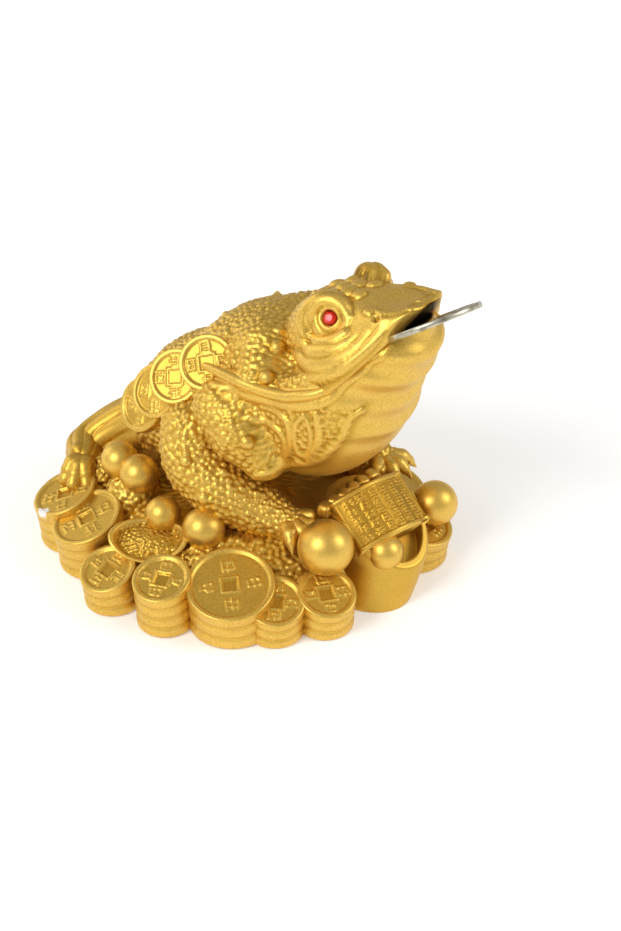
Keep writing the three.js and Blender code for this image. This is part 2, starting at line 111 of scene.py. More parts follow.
def panel(name, azimuth, elevation, distance, width, height, watts):
    """A rectangular light that faces the figure, at a distance in metres."""
    data = bpy.data.lights.new(name, "AREA")
    data.shape = "RECTANGLE"
    data.size, data.size_y = width, height
    data.energy = watts
    lamp = bpy.data.objects.new(name, data)
    away = direction(math.radians(azimuth), math.radians(elevation))
    lamp.location = aim * MM + away * distance
    lamp.rotation_mode = "QUATERNION"
    lamp.rotation_quaternion = away.to_track_quat("Z", "Y")
    bpy.context.scene.collection.objects.link(lamp)


panel("panel_left", -78, 22, 0.8, 0.5, 0.5, 1.1)
panel("panel_key", -8, 40, 0.9, 0.4, 0.4, 3.9)
panel("panel_right", 118, 34, 0.9, 0.35, 0.45, 2.4)
world = bpy.data.worlds.new("studio")
world.use_nodes = True
world.node_tree.nodes["Background"].inputs["Color"].default_value = (1, 0.98, 0.95, 1)
world.node_tree.nodes["Background"].inputs["Strength"].default_value = 0.48
bpy.context.scene.world = world
bpy.context.scene.view_settings.view_transform = "Standard"

# Ground of the heap
# The middle of the heap, cast in one with the toad and painted gold with it. Its skin is packed with small
# round beads, and it falls away under the stacks of coins. A lump at the right back
# carries two pearls, and another lies under the hind leg.
heap_radius = 30.3
heap_crown = 9.4
coin_thickness = 2.1
coin_diameter = 10
bead_spacing = 0.78
bead_share = 0.68
bead_sunk = 0.2


def unit(vectors):
    """Vectors over their own lengths."""
    return vectors / np.maximum(np.linalg.norm(vectors, axis=-1, keepdims=True), 1e-12)


def skin_normals(rings):
    """Outward normals of a skin of rings: at each point the sum of the four faces round it.

    A face is the cross product of its diagonals. The sign is that of the skin's volume, the sum of
    face times place, so that the normals point outwards whichever way the rings run.
    """
    ahead = np.roll(rings, -1, axis=1)
    faces = np.cross(ahead[1:] - rings[:-1], rings[1:] - ahead[:-1])
    places = (rings[:-1] + rings[1:] + ahead[:-1] + ahead[1:]) / 4 - rings.mean((0, 1))
    total = np.zeros_like(rings)
    total[:-1] += faces
    total[1:] += faces
    total += np.roll(total, 1, axis=1)
    return math.copysign(1, np.sum(faces * places)) * unit(total)


def carve(rings, height, reach=3):
    """Moves each point of a skin out by its height, and tells how far it then lies in a hollow, from 0 to 1,
    for painted shade there.

    A hollow is the mean height of the square of neighbours round a point, less its own height, over 0.25 mm.
    """
    edged = np.pad(height, ((reach, reach), (0, 0)), mode="edge")
    count = 2 * reach + 1
    mean = sum(edged[i:i + len(height)] for i in range(count)) / count
    mean = sum(np.roll(mean, i - reach, axis=1) for i in range(count)) / count
    # How deep each point lies in a hollow, kept as painted shade for the paint's colour
    hollow_shade = np.clip((mean - height) / 0.25, 0, 1)
    return rings + skin_normals(rings) * height[..., None], hollow_shade


def packed_beads(points, wanted, spacing, radius, salt=1):
    """Height of small round beads packed side by side over a skin, wherever they are wanted.

    Places are taken in a shuffled order. A bead goes on each that no bead has taken yet, and takes all the
    places within the spacing, which may change from place to place. Its height at a distance d is
    0.62 r (1 - d d / r r) ** 0.7, and where two beads meet the higher one shows.
    """
    draw = np.random.default_rng(salt)
    order = np.argsort(points[:, 0], kind="stable")
    places, free, height = points[order], wanted[order].copy(), np.zeros(len(points))
    spacing = np.broadcast_to(spacing, len(points))[order]
    shuffled = draw.permutation(np.flatnonzero(free))[:26000]
    sizes = draw.uniform(0.74, 1.2, len(shuffled))
    taken = 0
    while taken < len(shuffled):
        step_on = np.argmax(free[shuffled[taken:]])
        if not free[shuffled[taken + step_on]]:
            break
        taken += step_on
        bead = shuffled[taken]
        room, size = spacing[bead] * sizes[taken], radius * spacing[bead] * sizes[taken]
        low, high = np.searchsorted(places[:, 0], places[bead, 0] + np.array([-1, 1]) * max(room, size))
        squared = np.sum((places[low:high] - places[bead]) ** 2, axis=1)
        free[low:high] &= squared > room ** 2
        dome = 0.62 * size * np.maximum(1 - squared / size ** 2, 0) ** 0.7
        height[low:high] = np.maximum(height[low:high], dome)
        taken += 1
    result = np.empty(len(points))
    result[order] = height
    return result


def warty(points, wanted, spacing, salt=1):
    """Height of the toad's skin: round warts some way apart, and small beads packed between them."""
    large = packed_beads(points, wanted, 3.2, 0.2, salt + 50)
    small = packed_beads(points, wanted & (large < 0.04), spacing, bead_share, salt)
    return np.maximum(1.25 * large, small)


def add_piece(name, skins, material, slot="gold_paint", node="figure", smooth=True, **marks):
    """A mesh of one or more closed skins. Each skin is rings of points, and its ends are closed by a point.

    marks are further values for the points, each a list with an array for every skin.
    """
    points, faces, values, start = [], [], [], 0
    for rings, hollow_shade in skins:
        rows, columns = rings.shape[:2]
        index = start + np.arange(rows * columns).reshape(rows, columns)
        ahead = np.roll(index, -1, axis=1)
        quads = np.stack([index[:-1], ahead[:-1], ahead[1:], index[1:]], -1).reshape(-1, 4)
        first, last = start + rows * columns, start + rows * columns + 1
        caps = np.concatenate([
            np.stack([np.full(columns, first), ahead[0], index[0], index[0]], -1),
            np.stack([np.full(columns, last), index[-1], ahead[-1], ahead[-1]], -1),
        ])
        round_way = np.roll(rings, -1, axis=1)
        spans = np.cross(round_way[1:] - rings[:-1], rings[1:] - round_way[:-1])
        if np.sum(spans * (rings[:-1] - rings.mean((0, 1)))) < 0:
            quads, caps = quads[:, ::-1], caps[:, [0, 2, 1, 1]]
        points += [rings.reshape(-1, 3), rings[0].mean(0)[None], rings[-1].mean(0)[None]]
        values += [hollow_shade.ravel(), [hollow_shade[0].mean(), hollow_shade[-1].mean()]]
        faces.append((quads, caps[:, :3]))
        start = last + 1
    quads = np.concatenate([quad for quad, _ in faces])
    caps = np.concatenate([cap for _, cap in faces])
    mesh = bpy.data.meshes.new(name)
    mesh.vertices.add(start)
    mesh.vertices.foreach_set("co", (np.concatenate(points) * MM).astype(np.float32).ravel())
    mesh.loops.add(quads.size + caps.size)
    mesh.loops.foreach_set("vertex_index", np.concatenate([quads.ravel(), caps.ravel()]).astype(np.int32))
    starts = np.concatenate([np.arange(len(quads)) * 4, quads.size + np.arange(len(caps)) * 3])
    mesh.polygons.add(len(starts))
    mesh.polygons.foreach_set("loop_start", starts.astype(np.int32))
    mesh.polygons.foreach_set("use_smooth", np.full(len(starts), smooth))
    mesh.update(calc_edges=True)
    # Per point painted shade for the gold paint, from how deep each point lies in a hollow
    point_values = {"hollow_shade": np.concatenate(values)}
    for mark, arrays in marks.items():
        point_values[mark] = np.concatenate([np.append(array.ravel(), [0, 0]) for array in arrays])
    for mark, flat in point_values.items():
        mesh.attributes.new(mark, "FLOAT", "POINT").data.foreach_set("value", flat.astype(np.float32))
    mesh.materials.append(material)
    piece = bpy.data.objects.new(name, mesh)
    bpy.context.scene.collection.objects.link(piece)
    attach(piece, "root")
    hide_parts(node)
    return piece


def add_node(nodes, kind, **inputs):
    """A shader node of a kind, with the inputs of those names set. A low line stands for a space."""
    node = nodes.new("ShaderNode" + kind)
    for name, value in inputs.items():
        node.inputs[name.replace("_", " ")].default_value = value
    return node


def colour_ramp(nodes, stops):
    """A colour ramp with the given stops, each a position and a colour."""
    node = nodes.new("ShaderNodeValToRGB")
    steps = node.color_ramp
    for element, (position, colour) in zip(steps.elements, (stops[0], stops[-1])):
        element.position, element.color = position, (*colour, 1)
    for position, colour in stops[1:-1]:
        steps.elements.new(position).color = (*colour, 1)
    return node


# The colour of the paint by the depth of the hollow, from the raised places to the deepest cracks: painted
# shade, browner the deeper the hollow and near black in the mouth
gold_shade_tones = [
    (0.03, (0.84, 0.55, 0.115)), (0.09, (0.78, 0.5, 0.09)), (0.25, (0.64, 0.38, 0.05)),
    (0.5, (0.52, 0.28, 0.028)), (0.97, (0.02, 0.012, 0.006)),
]
bare_resin = (0.86, 0.84, 0.8, 1)
gold_metal = 0.9


def gold_paint(name, grain=1.0, chipped=False):
    """Gold paint on resin with a fine grain, and painted shade: bright on what stands out, brown in the
    hollows.
    """
    material = bpy.data.materials.new(name)
    material.use_nodes = True
    nodes, links = material.node_tree.nodes, material.node_tree.links
    shader = nodes["Principled BSDF"]
    shader.inputs["Metallic"].default_value = gold_metal
    place = nodes.new("ShaderNodeTexCoord").outputs["Object"]
    # Painted shade: the hollow value of each point, with a random mottle added, darkens the gold through the
    # ramp
    hollow_shade = nodes.new("ShaderNodeAttribute")
    hollow_shade.attribute_name = "hollow_shade"

    cloud = add_node(nodes, "TexNoise", Scale=260, Detail=4)
    links.new(place, cloud.inputs["Vector"])
    depth = add_node(nodes, "MapRange", From_Max=2)
    links.new(hollow_shade.outputs["Fac"], depth.inputs["Value"])
    mottle_and_shade = nodes.new("ShaderNodeMath")
    mottle_and_shade.operation = "MULTIPLY_ADD"
    mottle_and_shade.inputs[1].default_value = 0.1
    links.new(cloud.outputs["Fac"], mottle_and_shade.inputs[0])
    links.new(depth.outputs["Result"], mottle_and_shade.inputs[2])
    tone = colour_ramp(nodes, gold_shade_tones)
    links.new(mottle_and_shade.outputs["Value"], tone.inputs["Fac"])

    flakes = add_node(nodes, "TexNoise", Scale=5200, Detail=3)
    links.new(place, flakes.inputs["Vector"])
    glitter = add_node(
        nodes, "MapRange", From_Min=0.3, From_Max=0.7, To_Min=0.92 - 0.2 * grain, To_Max=1.04 + 0.08 * grain,
    )
    links.new(flakes.outputs["Fac"], glitter.inputs["Value"])
    paint = nodes.new("ShaderNodeVectorMath")
    paint.operation = "SCALE"
    links.new(tone.outputs["Color"], paint.inputs[0])
    links.new(glitter.outputs["Result"], paint.inputs["Scale"])
    satin = add_node(nodes, "MapRange", To_Min=0.34, To_Max=0.5)
    links.new(flakes.outputs["Fac"], satin.inputs["Value"])
    bump = add_node(nodes, "Bump", Strength=0.3 * grain, Distance=0.00006)
    links.new(flakes.outputs["Fac"], bump.inputs["Height"])
    links.new(bump.outputs["Normal"], shader.inputs["Normal"])
    if not chipped:
        links.new(paint.outputs["Vector"], shader.inputs["Base Color"])
        links.new(satin.outputs["Result"], shader.inputs["Roughness"])
        return material

    chip = nodes.new("ShaderNodeAttribute")
    chip.attribute_name = "chip"
    bare = nodes.new("ShaderNodeMix")
    bare.data_type = "RGBA"
    links.new(chip.outputs["Fac"], bare.inputs["Factor"])
    links.new(paint.outputs["Vector"], bare.inputs["A"])
    bare.inputs["B"].default_value = bare_resin
    links.new(bare.outputs["Result"], shader.inputs["Base Color"])
    metal = add_node(nodes, "MapRange", To_Min=gold_metal, To_Max=0)
    links.new(chip.outputs["Fac"], metal.inputs["Value"])
    links.new(metal.outputs["Result"], shader.inputs["Metallic"])
    dull = nodes.new("ShaderNodeMath")
    dull.operation = "MULTIPLY_ADD"
    dull.inputs[1].default_value = 0.4
    links.new(chip.outputs["Fac"], dull.inputs[0])
    links.new(satin.outputs["Result"], dull.inputs[2])
    links.new(dull.outputs["Value"], shader.inputs["Roughness"])
    return material


carved_gold = gold_paint("carved_gold")
mound_radius = heap_radius - coin_diameter / 2
mound_profile = np.array([
    [0.35, heap_crown], [0.7 * mound_radius, heap_crown], [0.88 * mound_radius, 3.7 * coin_thickness],
    [mound_radius, 2 * coin_thickness], [mound_radius, 0.05], [0.2, 0],
])
mound_rows = [18, 16, 18, 3, 3]
mound_columns = 520
mound_squash = np.array([0.93, 0.88, 1])
mound_shift = np.array([0.04 * heap_radius, -0.07 * heap_radius, 0])


def lathe(profile, rows, columns):
    """A skin of revolution: the profile, with rows of points between its corners, turned round the Z axis."""
    stretches = [
        np.linspace(start, end, count, endpoint=False)
        for start, end, count in zip(profile[:-1], profile[1:], rows)
    ]
    out, rise = np.concatenate(stretches + [profile[-1:]]).T
    turn = np.linspace(0, 2 * math.pi, columns, endpoint=False)
    return np.stack([
        out[:, None] * np.cos(turn), out[:, None] * np.sin(turn), np.repeat(rise[:, None], columns, 1),
    ], -1)


def beaded(rings, salt=1):
    """A skin with the toad's beads on it, kept flat where it stands on the ground."""
    points = rings.reshape(-1, 3)
    bare = (points[:, 0] > 9) & (np.abs(points[:, 1]) < 9)
    height = packed_beads(points, (points[:, 2] > 1) & ~bare, bead_spacing, bead_share, salt)
    height = height - bead_sunk * ~bare
    return carve(rings, height.reshape(rings.shape[:2]) * np.clip(rings[..., 2] - 0.6, 0, 1))


def on_heap(angle, share, level):
    """A place over the heap: its direction in degrees, its share of the heap's radius, and its height."""
    turn = math.radians(angle)
    return np.array([share * heap_radius * math.cos(turn), share * heap_radius * math.sin(turn), level])


def ball(radius, rows, columns):
    """A sphere as rings from pole to pole."""
    fall = np.linspace(0, math.pi, rows + 2)[1:-1, None]
    turn = np.linspace(0, 2 * math.pi, columns, endpoint=False)
    return radius * np.stack([
        np.sin(fall) * np.cos(turn), np.sin(fall) * np.sin(turn), np.repeat(np.cos(fall), columns, 1),
    ], -1)


mound_top = lathe(mound_profile, mound_rows, mound_columns) * mound_squash + mound_shift
leg_lump = ball(1, 60, 110) * [5.4, 3.3, 3.6]
leg_lump_turn = np.array(Matrix.Rotation(math.radians(-80), 3, "Z"))
leg_lump = leg_lump @ leg_lump_turn.T + np.array([-0.56 * heap_radius, -0.4 * heap_radius, heap_crown - 1.6])
lump = on_heap(-122, 0.6, heap_crown - 1.4) + ball(0.44 * coin_diameter, 50, 90)
add_piece("heap_ground", [beaded(mound_top), beaded(lump), beaded(leg_lump)], carved_gold)

# Stacks of coins
# Round coins with a square hole, cast as stacks of three and four that lean outwards round the heap.
# The top coin of each has a raised rim, a border and four groups of shallow strokes.
big_coin_diameter = 12.6
big_coin_thickness = 2.7
small_coin_diameter = 8.4
stack_lean, upper_lean = math.radians(22), math.radians(18)
stack_drift = 0.22
coin_rim = 0.8
coin_recess = 0.35
coin_hole = 2.0
coin_hole_depth = 0.3
stroke_half_width = 0.12
stroke_rise = 0.16


def step(value, soft):
    """Goes smoothly from 0 to 1 as the value goes from minus soft to plus soft."""
    t = np.clip(value / (2 * soft) + 0.5, 0, 1)
    return t * t * (3 - 2 * t)


def strokes(x, y, size, salt):
    """Height of a mark in a square of a size: three bars across, two upright and a tick, of no alphabet."""
    draw = np.random.default_rng(salt)
    bars = [
        (draw.uniform(-0.08, 0.08), row * 0.36, draw.uniform(-0.1, 0.15), draw.uniform(0.2, 0.42))
        for row in (-1, 0, 1)
    ]
    bars += [
        (side * draw.uniform(0.12, 0.34), draw.uniform(-0.12, 0.12), draw.uniform(1.37, 1.77),
         draw.uniform(0.18, 0.42))
        for side in (-1, 1)
    ]
    bars += [(draw.uniform(-0.3, 0.3), draw.uniform(-0.3, 0.3), draw.choice([-0.8, 0.8]), 0.16)]
    rise = np.zeros_like(x)
    for middle_x, middle_y, turn, half in bars:
        c, s = math.cos(turn), math.sin(turn)
        along = (x - middle_x * size) * c + (y - middle_y * size) * s
        across = (y - middle_y * size) * c - (x - middle_x * size) * s
        away = np.hypot(np.maximum(np.abs(along) - half * size, 0), across)
        rise = np.maximum(rise, stroke_rise * step(stroke_half_width - away, 0.09))
    return rise


def coin_face(x, y, radius, salt, turn=0.0, hole_depth=coin_hole_depth):
    """Height of a coin's face over its rim: sunk field, square hole with a border, four groups of strokes."""
    out = np.hypot(x, y)
    u = x * math.cos(turn) + y * math.sin(turn)
    v = y * math.cos(turn) - x * math.sin(turn)
    square = np.maximum(np.abs(u), np.abs(v))
    half = coin_hole / 2
    border = 0.14 * step(half + 0.35 - square, 0.12)
    marks = np.zeros_like(x)
    spread, size = 0.5 * (radius - coin_rim + half) + 0.12, min(0.86 * (radius - coin_rim - half), 2.3)
    for quarter in range(4):
        across, along = math.cos(quarter * math.pi / 2), math.sin(quarter * math.pi / 2)
        marks = np.maximum(marks, strokes(u - across * spread, v - along * spread, size, 10 * salt + quarter))
    height = np.maximum(border, marks) - coin_recess * step(radius - coin_rim - out, 0.12)
    sunk = step(half - square, 0.1)
    return height * (1 - sunk) - (coin_recess + hole_depth) * sunk


def turned(points, angle):
    """Points turned round the Z axis by an angle."""
    c, s = math.cos(angle), math.sin(angle)
    x, y, z = np.moveaxis(points, -1, 0)
    return np.stack([x * c - y * s, x * s + y * c, z], -1)


def stack(angle, edge, diameter, count, thickness, tilt, columns, salt):
    """A leaning stack of coins as a skin: the face of the top coin from its middle out, then down the sides.

    A ring at a share of the height leans by that share of the stack's lean and drifts out by its square.
    """
    radius, height = diameter / 2, count * thickness
    face_rows = int(radius / 0.17)
    face_radii = np.linspace(0.08, radius - 0.25, face_rows)
    round_over = np.linspace(0, math.pi / 2, 4)
    side_rows = 9
    side = np.linspace(1, -1, side_rows + 2)[1:-1]
    levels = np.concatenate([(count - coin - 0.5 + 0.5 * side) / count for coin in range(count)])
    bulge = np.tile(radius - 0.42 * side ** 4, count)
    levels[:side_rows // 2] = np.minimum(levels[:side_rows // 2], 1 - 0.12 / height)
    shares = np.concatenate([
        np.ones(face_rows), 1 - 0.25 * (1 - np.cos(round_over[1:])) / height, levels[1:], [0, 0],
    ])
    radii = np.concatenate([
        face_radii, radius - 0.25 + 0.25 * np.sin(round_over[1:]), bulge[1:], [radius - 0.4, 0.2],
    ])
    radii[face_rows + 3:-2] = np.minimum(radii[face_rows + 3:-2], radius)
    shares, radii = shares[:, None], radii[:, None]
    turn = np.linspace(0, 2 * math.pi, columns, endpoint=False)
    out, aside = radii * np.cos(turn), radii * np.sin(turn)
    lift = np.zeros(out.shape)
    lift[:face_rows] = coin_face(out[:face_rows], aside[:face_rows], radius, salt, 0.1 * (salt % 5 - 2))
    lean = shares * tilt
    middle = edge - radius + shares ** 2 * stack_drift * radius
    ahead = middle + out * np.cos(lean) + lift * np.sin(lean)
    rise = np.maximum(shares * height - out * np.sin(lean) + lift * np.cos(lean), shares / 2)
    rings = turned(np.stack([ahead, aside, rise], -1), angle)
    # Painted shade: darker in the sunk field and the hole of the top coin and in the grooves between the
    # coins, lighter on the raised marks
    sunk = np.clip(-(lift + coin_recess) * 1.2, 0, 0.9)
    groove_shade = np.clip((radius - 0.12 - radii) * 3, 0, 1) * (shares < 0.999)
    foot = np.clip(lift + coin_recess, 0, 0.25) * (radii < radius - coin_rim) * (shares > 0.999)
    field = 0.2 * (radii < radius - coin_rim) * (shares > 0.999) - 0.9 * foot
    return rings, np.clip(sunk + groove_shade + field, 0, 1)


front_stacks = [
    (-131, 1.05, coin_diameter, 4, coin_thickness, stack_lean),
    (-116, 1.005, 1.08 * coin_diameter, 4, coin_thickness, stack_lean),
    (-95, 1.06, small_coin_diameter, 3, coin_thickness, stack_lean),
    (-76, 1.045, small_coin_diameter, 4, coin_thickness, upper_lean),
    (-56, 1.045, big_coin_diameter, 3, big_coin_thickness, upper_lean),
    (-43, 1.046, small_coin_diameter, 3, coin_thickness, stack_lean),
    (-28, 1.05, small_coin_diameter, 3, coin_thickness, stack_lean),
    (18, 1.01, coin_diameter, 3, 1.05 * coin_thickness, stack_lean),
]
stack_skins = [
    stack(math.radians(angle), edge * heap_radius, diameter, count, thickness, tilt, int(13 * diameter), salt)
    for salt, (angle, edge, diameter, count, thickness, tilt) in enumerate(front_stacks)
]
chip_place = np.array([-18.6, -25.4, 7.0])
chip_radius = 1.0


def chipped_share(rings):
    """How far the paint is off, from 0 to 1: off within a wavy circle on the rim of the leftmost coin."""
    away = np.linalg.norm(rings - chip_place, axis=-1)
    wave = 0.25 * np.sin(rings[..., 0] * 7) * np.cos(rings[..., 1] * 9)
    return step(chip_radius + wave - away, 0.12)


chipped_gold = gold_paint("chipped_gold", chipped=True)
add_piece("front_coins", stack_skins, chipped_gold, chip=[chipped_share(rings) for rings, _ in stack_skins])

# Coins behind
# The same stacks go on round the back, where the heap draws in to an oval. Nothing of them shows past the
# toad in the photograph, so they are all of one size.
hidden_stacks, hidden_from, hidden_step = 7, 42, 27.5
rear_skins = []
for number in range(hidden_stacks):
    rear_angle = math.radians(hidden_from + number * hidden_step)
    rear_edge = heap_radius / math.hypot(math.cos(rear_angle) / 0.93, math.sin(rear_angle) / 0.76)
    rear_skins.append(stack(
        rear_angle, rear_edge, 1.2 * coin_diameter, 3, coin_thickness, stack_lean, 66, 40 + number,
    ))
add_piece("rear_coins", rear_skins, carved_gold)

# Pearls
# Smooth balls cast on the heap: the biggest lies before the right hand, the others in the gaps of the coins.
pearl_diameter = 5.4
big_pearl_diameter = 8
pearls = [
    (-25, 0.823, 1.8, big_pearl_diameter), (21.8, 0.93, -0.6, 1.24 * pearl_diameter),
    (-92.5, 0.614, 1.4, 0.96 * pearl_diameter), (-71.5, 0.6, 1.1, 1.14 * pearl_diameter),
    (-129.1, 0.644, 4, 1.04 * pearl_diameter), (-116.6, 0.582, 3.8, 1.07 * pearl_diameter),
]
pearl_skins = []
for angle, share, lift, diameter in pearls:
    pearl = ball(diameter / 2, 40, 64)
    pearl_skins.append((on_heap(angle, share, heap_crown + lift) + pearl, np.zeros(pearl.shape[:2])))
smooth_gold = gold_paint("smooth_gold", grain=0.5)
add_piece("pearls", pearl_skins, smooth_gold)

# Small ingot
# A boat-shaped lump of gold between the pearls and the coins, its hollow filled with grains.
small_ingot_length = 11.5
small_ingot_height = 4
small_ingot_columns = 150


def hull_ring(share, height, lift, turn):
    """An oval ring of a hull, 0.64 as wide as long, that rises to both ends with the square of the cosine."""
    half = share * small_ingot_length / 2
    return np.stack([half * np.cos(turn), 0.64 * half * np.sin(turn), height + lift * np.cos(turn) ** 2], -1)


def between(corners, rows):
    """Values between the corners of a profile, with so many rows to each stretch, and the last corner."""
    corners = np.array(corners, float)
    parts = [np.linspace(a, b, count, endpoint=False) for a, b, count in zip(corners[:-1], corners[1:], rows)]
    return np.concatenate(parts + [corners[-1:]])


ingot_turns = np.linspace(0, 2 * math.pi, small_ingot_columns, endpoint=False)
end_lift = small_ingot_height / 4
small_profile = between([
    (0.05, -small_ingot_height, 0), (0.6, -small_ingot_height, 0), (0.84, -small_ingot_height / 2, 0),
    (0.97, -0.4, 0.8 * end_lift), (1, 0, end_lift), (0.94, 0.12, end_lift), (0.88, 0, end_lift),
    (0.72, -end_lift / 2, 0), (0.02, end_lift / 2, 0),
], [3, 8, 8, 3, 3, 3, 6, 22])
small_hull = np.array([hull_ring(share, height, lift, ingot_turns) for share, height, lift in small_profile])
small_grains = np.zeros(small_hull.shape[:2])
grain_rows = slice(-26, None)
grain_places = small_hull[grain_rows].reshape(-1, 3)
small_grains[grain_rows] = packed_beads(
    grain_places, np.ones(len(grain_places), bool), 0.5, 0.72, 5,
).reshape(small_hull[grain_rows].shape[:2]) - 0.1
small_hull, small_ingot_shade = carve(small_hull, small_grains, 2)
# Painted shade over the grains in the hollow of the ingot
small_ingot_shade[grain_rows] += 0.25
tilt = Matrix.Rotation(math.radians(36), 3, "Z") @ Matrix.Rotation(math.radians(24), 3, "X")
small_place = np.array([0, -0.746 * heap_radius, heap_crown - 0.6])
add_piece("small_ingot", [(small_hull @ np.array(tilt).T + small_place, small_ingot_shade)], carved_gold)

# Big ingot
# The large boat-shaped ingot leans back under the throat. Its rim is raised, it is hollow in front, where a
# pearl lies in it, and an arched bridge with shallow strokes crosses the hollow.
ingot_width = 13
ingot_length = 17
ingot_front = 6.3
ingot_pitch = math.radians(35)
ingot_rim = 0.8
ingot_hollow = 2.0
bridge_rise = 2.2
ingot_turn = math.radians(-12)
ingot_place = np.array([0.76 * heap_radius, 0.6, 0])
ingot_top = heap_crown + 3
hull_lean = 2.4


def place_ingot(points):
    """Turns the ingot to its direction and puts it under the throat."""
    return turned(points, ingot_turn) + ingot_place


rim_share = 1 - 2 * ingot_rim / ingot_width
big_turns = np.linspace(0, 2 * math.pi, 220, endpoint=False)
big_profile = between([
    (0.05, 0, 0), (0.96, 0, 0), (0.97, 0.02, 0.04), (0.985, 0.4, 0.35), (0.995, 0.85, 0.8), (1, 1, 0.98),
    (0.985, 1.03, 1.03), (rim_share + 0.01, 1.03, 1.03), (rim_share, 1, 0.98), (rim_share - 0.04, 1, 0.75),
    (rim_share - 0.08, 1, 0.58), (0.02, 1, 0.5),
], [3, 3, 8, 8, 3, 2, 4, 2, 5, 4, 24])
big_hull = []
for share, slope_share, rise_share in big_profile:
    out = share * ingot_length / 2 * np.cos(big_turns)
    rise = rise_share * ingot_front + slope_share * (ingot_length / 2 - out) * math.tan(ingot_pitch)
    rise = np.minimum(rise, ingot_top * min(1, slope_share + 0.02))
    lean = hull_lean * max(0, 1 - slope_share - 0.05 * rise_share)
    aside = share * ingot_width / 2 * np.sin(big_turns) - lean
    big_hull.append(np.stack([out, aside, rise], -1))
big_hull = np.array(big_hull)
# Painted shade: the whole hull a little darker, and its hollow darker still
big_ingot_shade = np.full(big_hull.shape[:2], 0.25)
big_ingot_shade[-33:] = 0.45
big_skin = (place_ingot(big_hull), big_ingot_shade)

bridge_half = ingot_width / 2 - 0.3
bridge_start = 0.25 * ingot_length
bridge_depth = 0.5 * ingot_length
bridge_frame = 0.7
bridge_rows, bridge_columns = 90, 160
up_slope = np.array([-math.cos(ingot_pitch), 0, math.sin(ingot_pitch)])
off_slope = np.array([math.sin(ingot_pitch), 0, math.cos(ingot_pitch)])
bridge_corner = np.array([
    ingot_length / 2 - bridge_start, 0, ingot_front + bridge_start * math.tan(ingot_pitch),
])


def bridge_skin():
    """The bridge as rings across its length: each goes over the arch and back under it.

    Over the arch the height is a parabola, with a raised frame at both ends and rows of strokes between them.
    """
    along = np.linspace(0, 1, bridge_rows, endpoint=False) * bridge_depth
    along = np.concatenate([[0], along, [bridge_depth]])
    over = np.linspace(1, -1, bridge_columns)
    top = bridge_rise * (1 - over ** 2)
    under = np.linspace(-1, 1, 12)
    grid_along, grid_over = np.meshgrid(along, over * bridge_half, indexing="ij")
    ends = np.minimum(grid_along, bridge_depth - grid_along)
    sides = bridge_half - np.abs(grid_over)
    frame_rise = 0.28 * step(bridge_frame - ends, 0.12)
    edge_rise = 0.15 * step(0.35 - sides, 0.1)
    far_ridge = np.exp(-((grid_over + bridge_half - 0.55) / 0.45) ** 2)
    far_ridge = far_ridge * (0.45 + 0.5 * np.exp(-(grid_along / 0.8) ** 2))
    marks = np.zeros_like(grid_along)
    for row in range(5):
        for group in range(6):
            place = (1.45 + 1.4 * row, (group - 2.5) * 1.85)
            mark = strokes(grid_over - place[1], grid_along - place[0], 1.35, 300 + 10 * row + group)
            marks = np.maximum(marks, mark)
    height = np.maximum(np.maximum(frame_rise, edge_rise), marks) + far_ridge
    soft = -0.35 * (1 - np.clip(ends / 0.25, 0, 1)) ** 2
    lifted = top + height + soft
    below = np.full((len(along), len(under)), -ingot_hollow - 0.5)
    across = np.concatenate([grid_over, np.tile(under * bridge_half, (len(along), 1))], 1)
    offs = np.concatenate([lifted, below], 1)
    alongs = np.repeat(along[:, None], across.shape[1], 1)
    rings = bridge_corner + across[..., None] * np.array([0, -1, 0])
    rings = rings + alongs[..., None] * up_slope + offs[..., None] * off_slope
    # Painted shade: darker over the field, lighter on the strokes, and dark under the arch
    field = 0.2 + 0.5 * (ends > bridge_frame) - 1.6 * marks
    hollow_shade = np.concatenate([np.clip(field, 0, 1), np.full(below.shape, 0.5)], 1)
    return place_ingot(rings), hollow_shade


ingot_pearl_place = np.array([0.29 * ingot_length, -0.2 * ingot_width, 1.3 * ingot_front])
ingot_pearl = ball(pearl_diameter / 2, 40, 64) + ingot_pearl_place
pearl_skin = (place_ingot(ingot_pearl), np.zeros(ingot_pearl.shape[:2]))
add_piece("big_ingot", [big_skin, bridge_skin(), pearl_skin], smooth_gold)

# Belly beads
# A row of squarish beads on a string across the front of the belly, cast with it.
bead_size = 1.9
bead_count = 7
bead_pitch = 1.1 * bead_size
bead_skins = []
for number in range(bead_count):
    bead = ball(1, 16, 24)
    bead = np.sign(bead) * np.abs(bead) ** 0.55 * bead_size * 0.56
    bead = turned(bead, number * 0.3)
    bead_middle = np.array([0.6 * heap_radius, (number - 2.4) * bead_pitch, heap_crown + 3.2])
    bead_skins.append((bead + bead_middle, np.zeros(bead.shape[:2])))
add_piece("belly_beads", bead_skins, smooth_gold)

# Trunk
# Back, shoulders, throat and lower jaw of the toad, one casting. The back and the shoulders are beaded, the
# throat is smooth with soft creases, and a scroll of smooth bands runs down the edge of each shoulder.
lip_corner = (29.6, 45.3)
jaw_pitch, lip_pitch = 33, 53
throat_crease, throat_crease_depth = 4.6, 0.3
nape_domes = [(7.4, 5.4, 36.2), (9.4, 9.2, 33.4)]
shoulder_line = [(4.5, 10.5, 27.5), (8, 10.8, 25), (11, 10, 21.5)]
shoulder_radii = [4.6, 5, 3.6]


def mirrored(points):
    """The points with their left side turned onto the other, because both flanks are carved alike."""
    return points * [1, 0, 1] + np.abs(points) * [0, 1, 0]


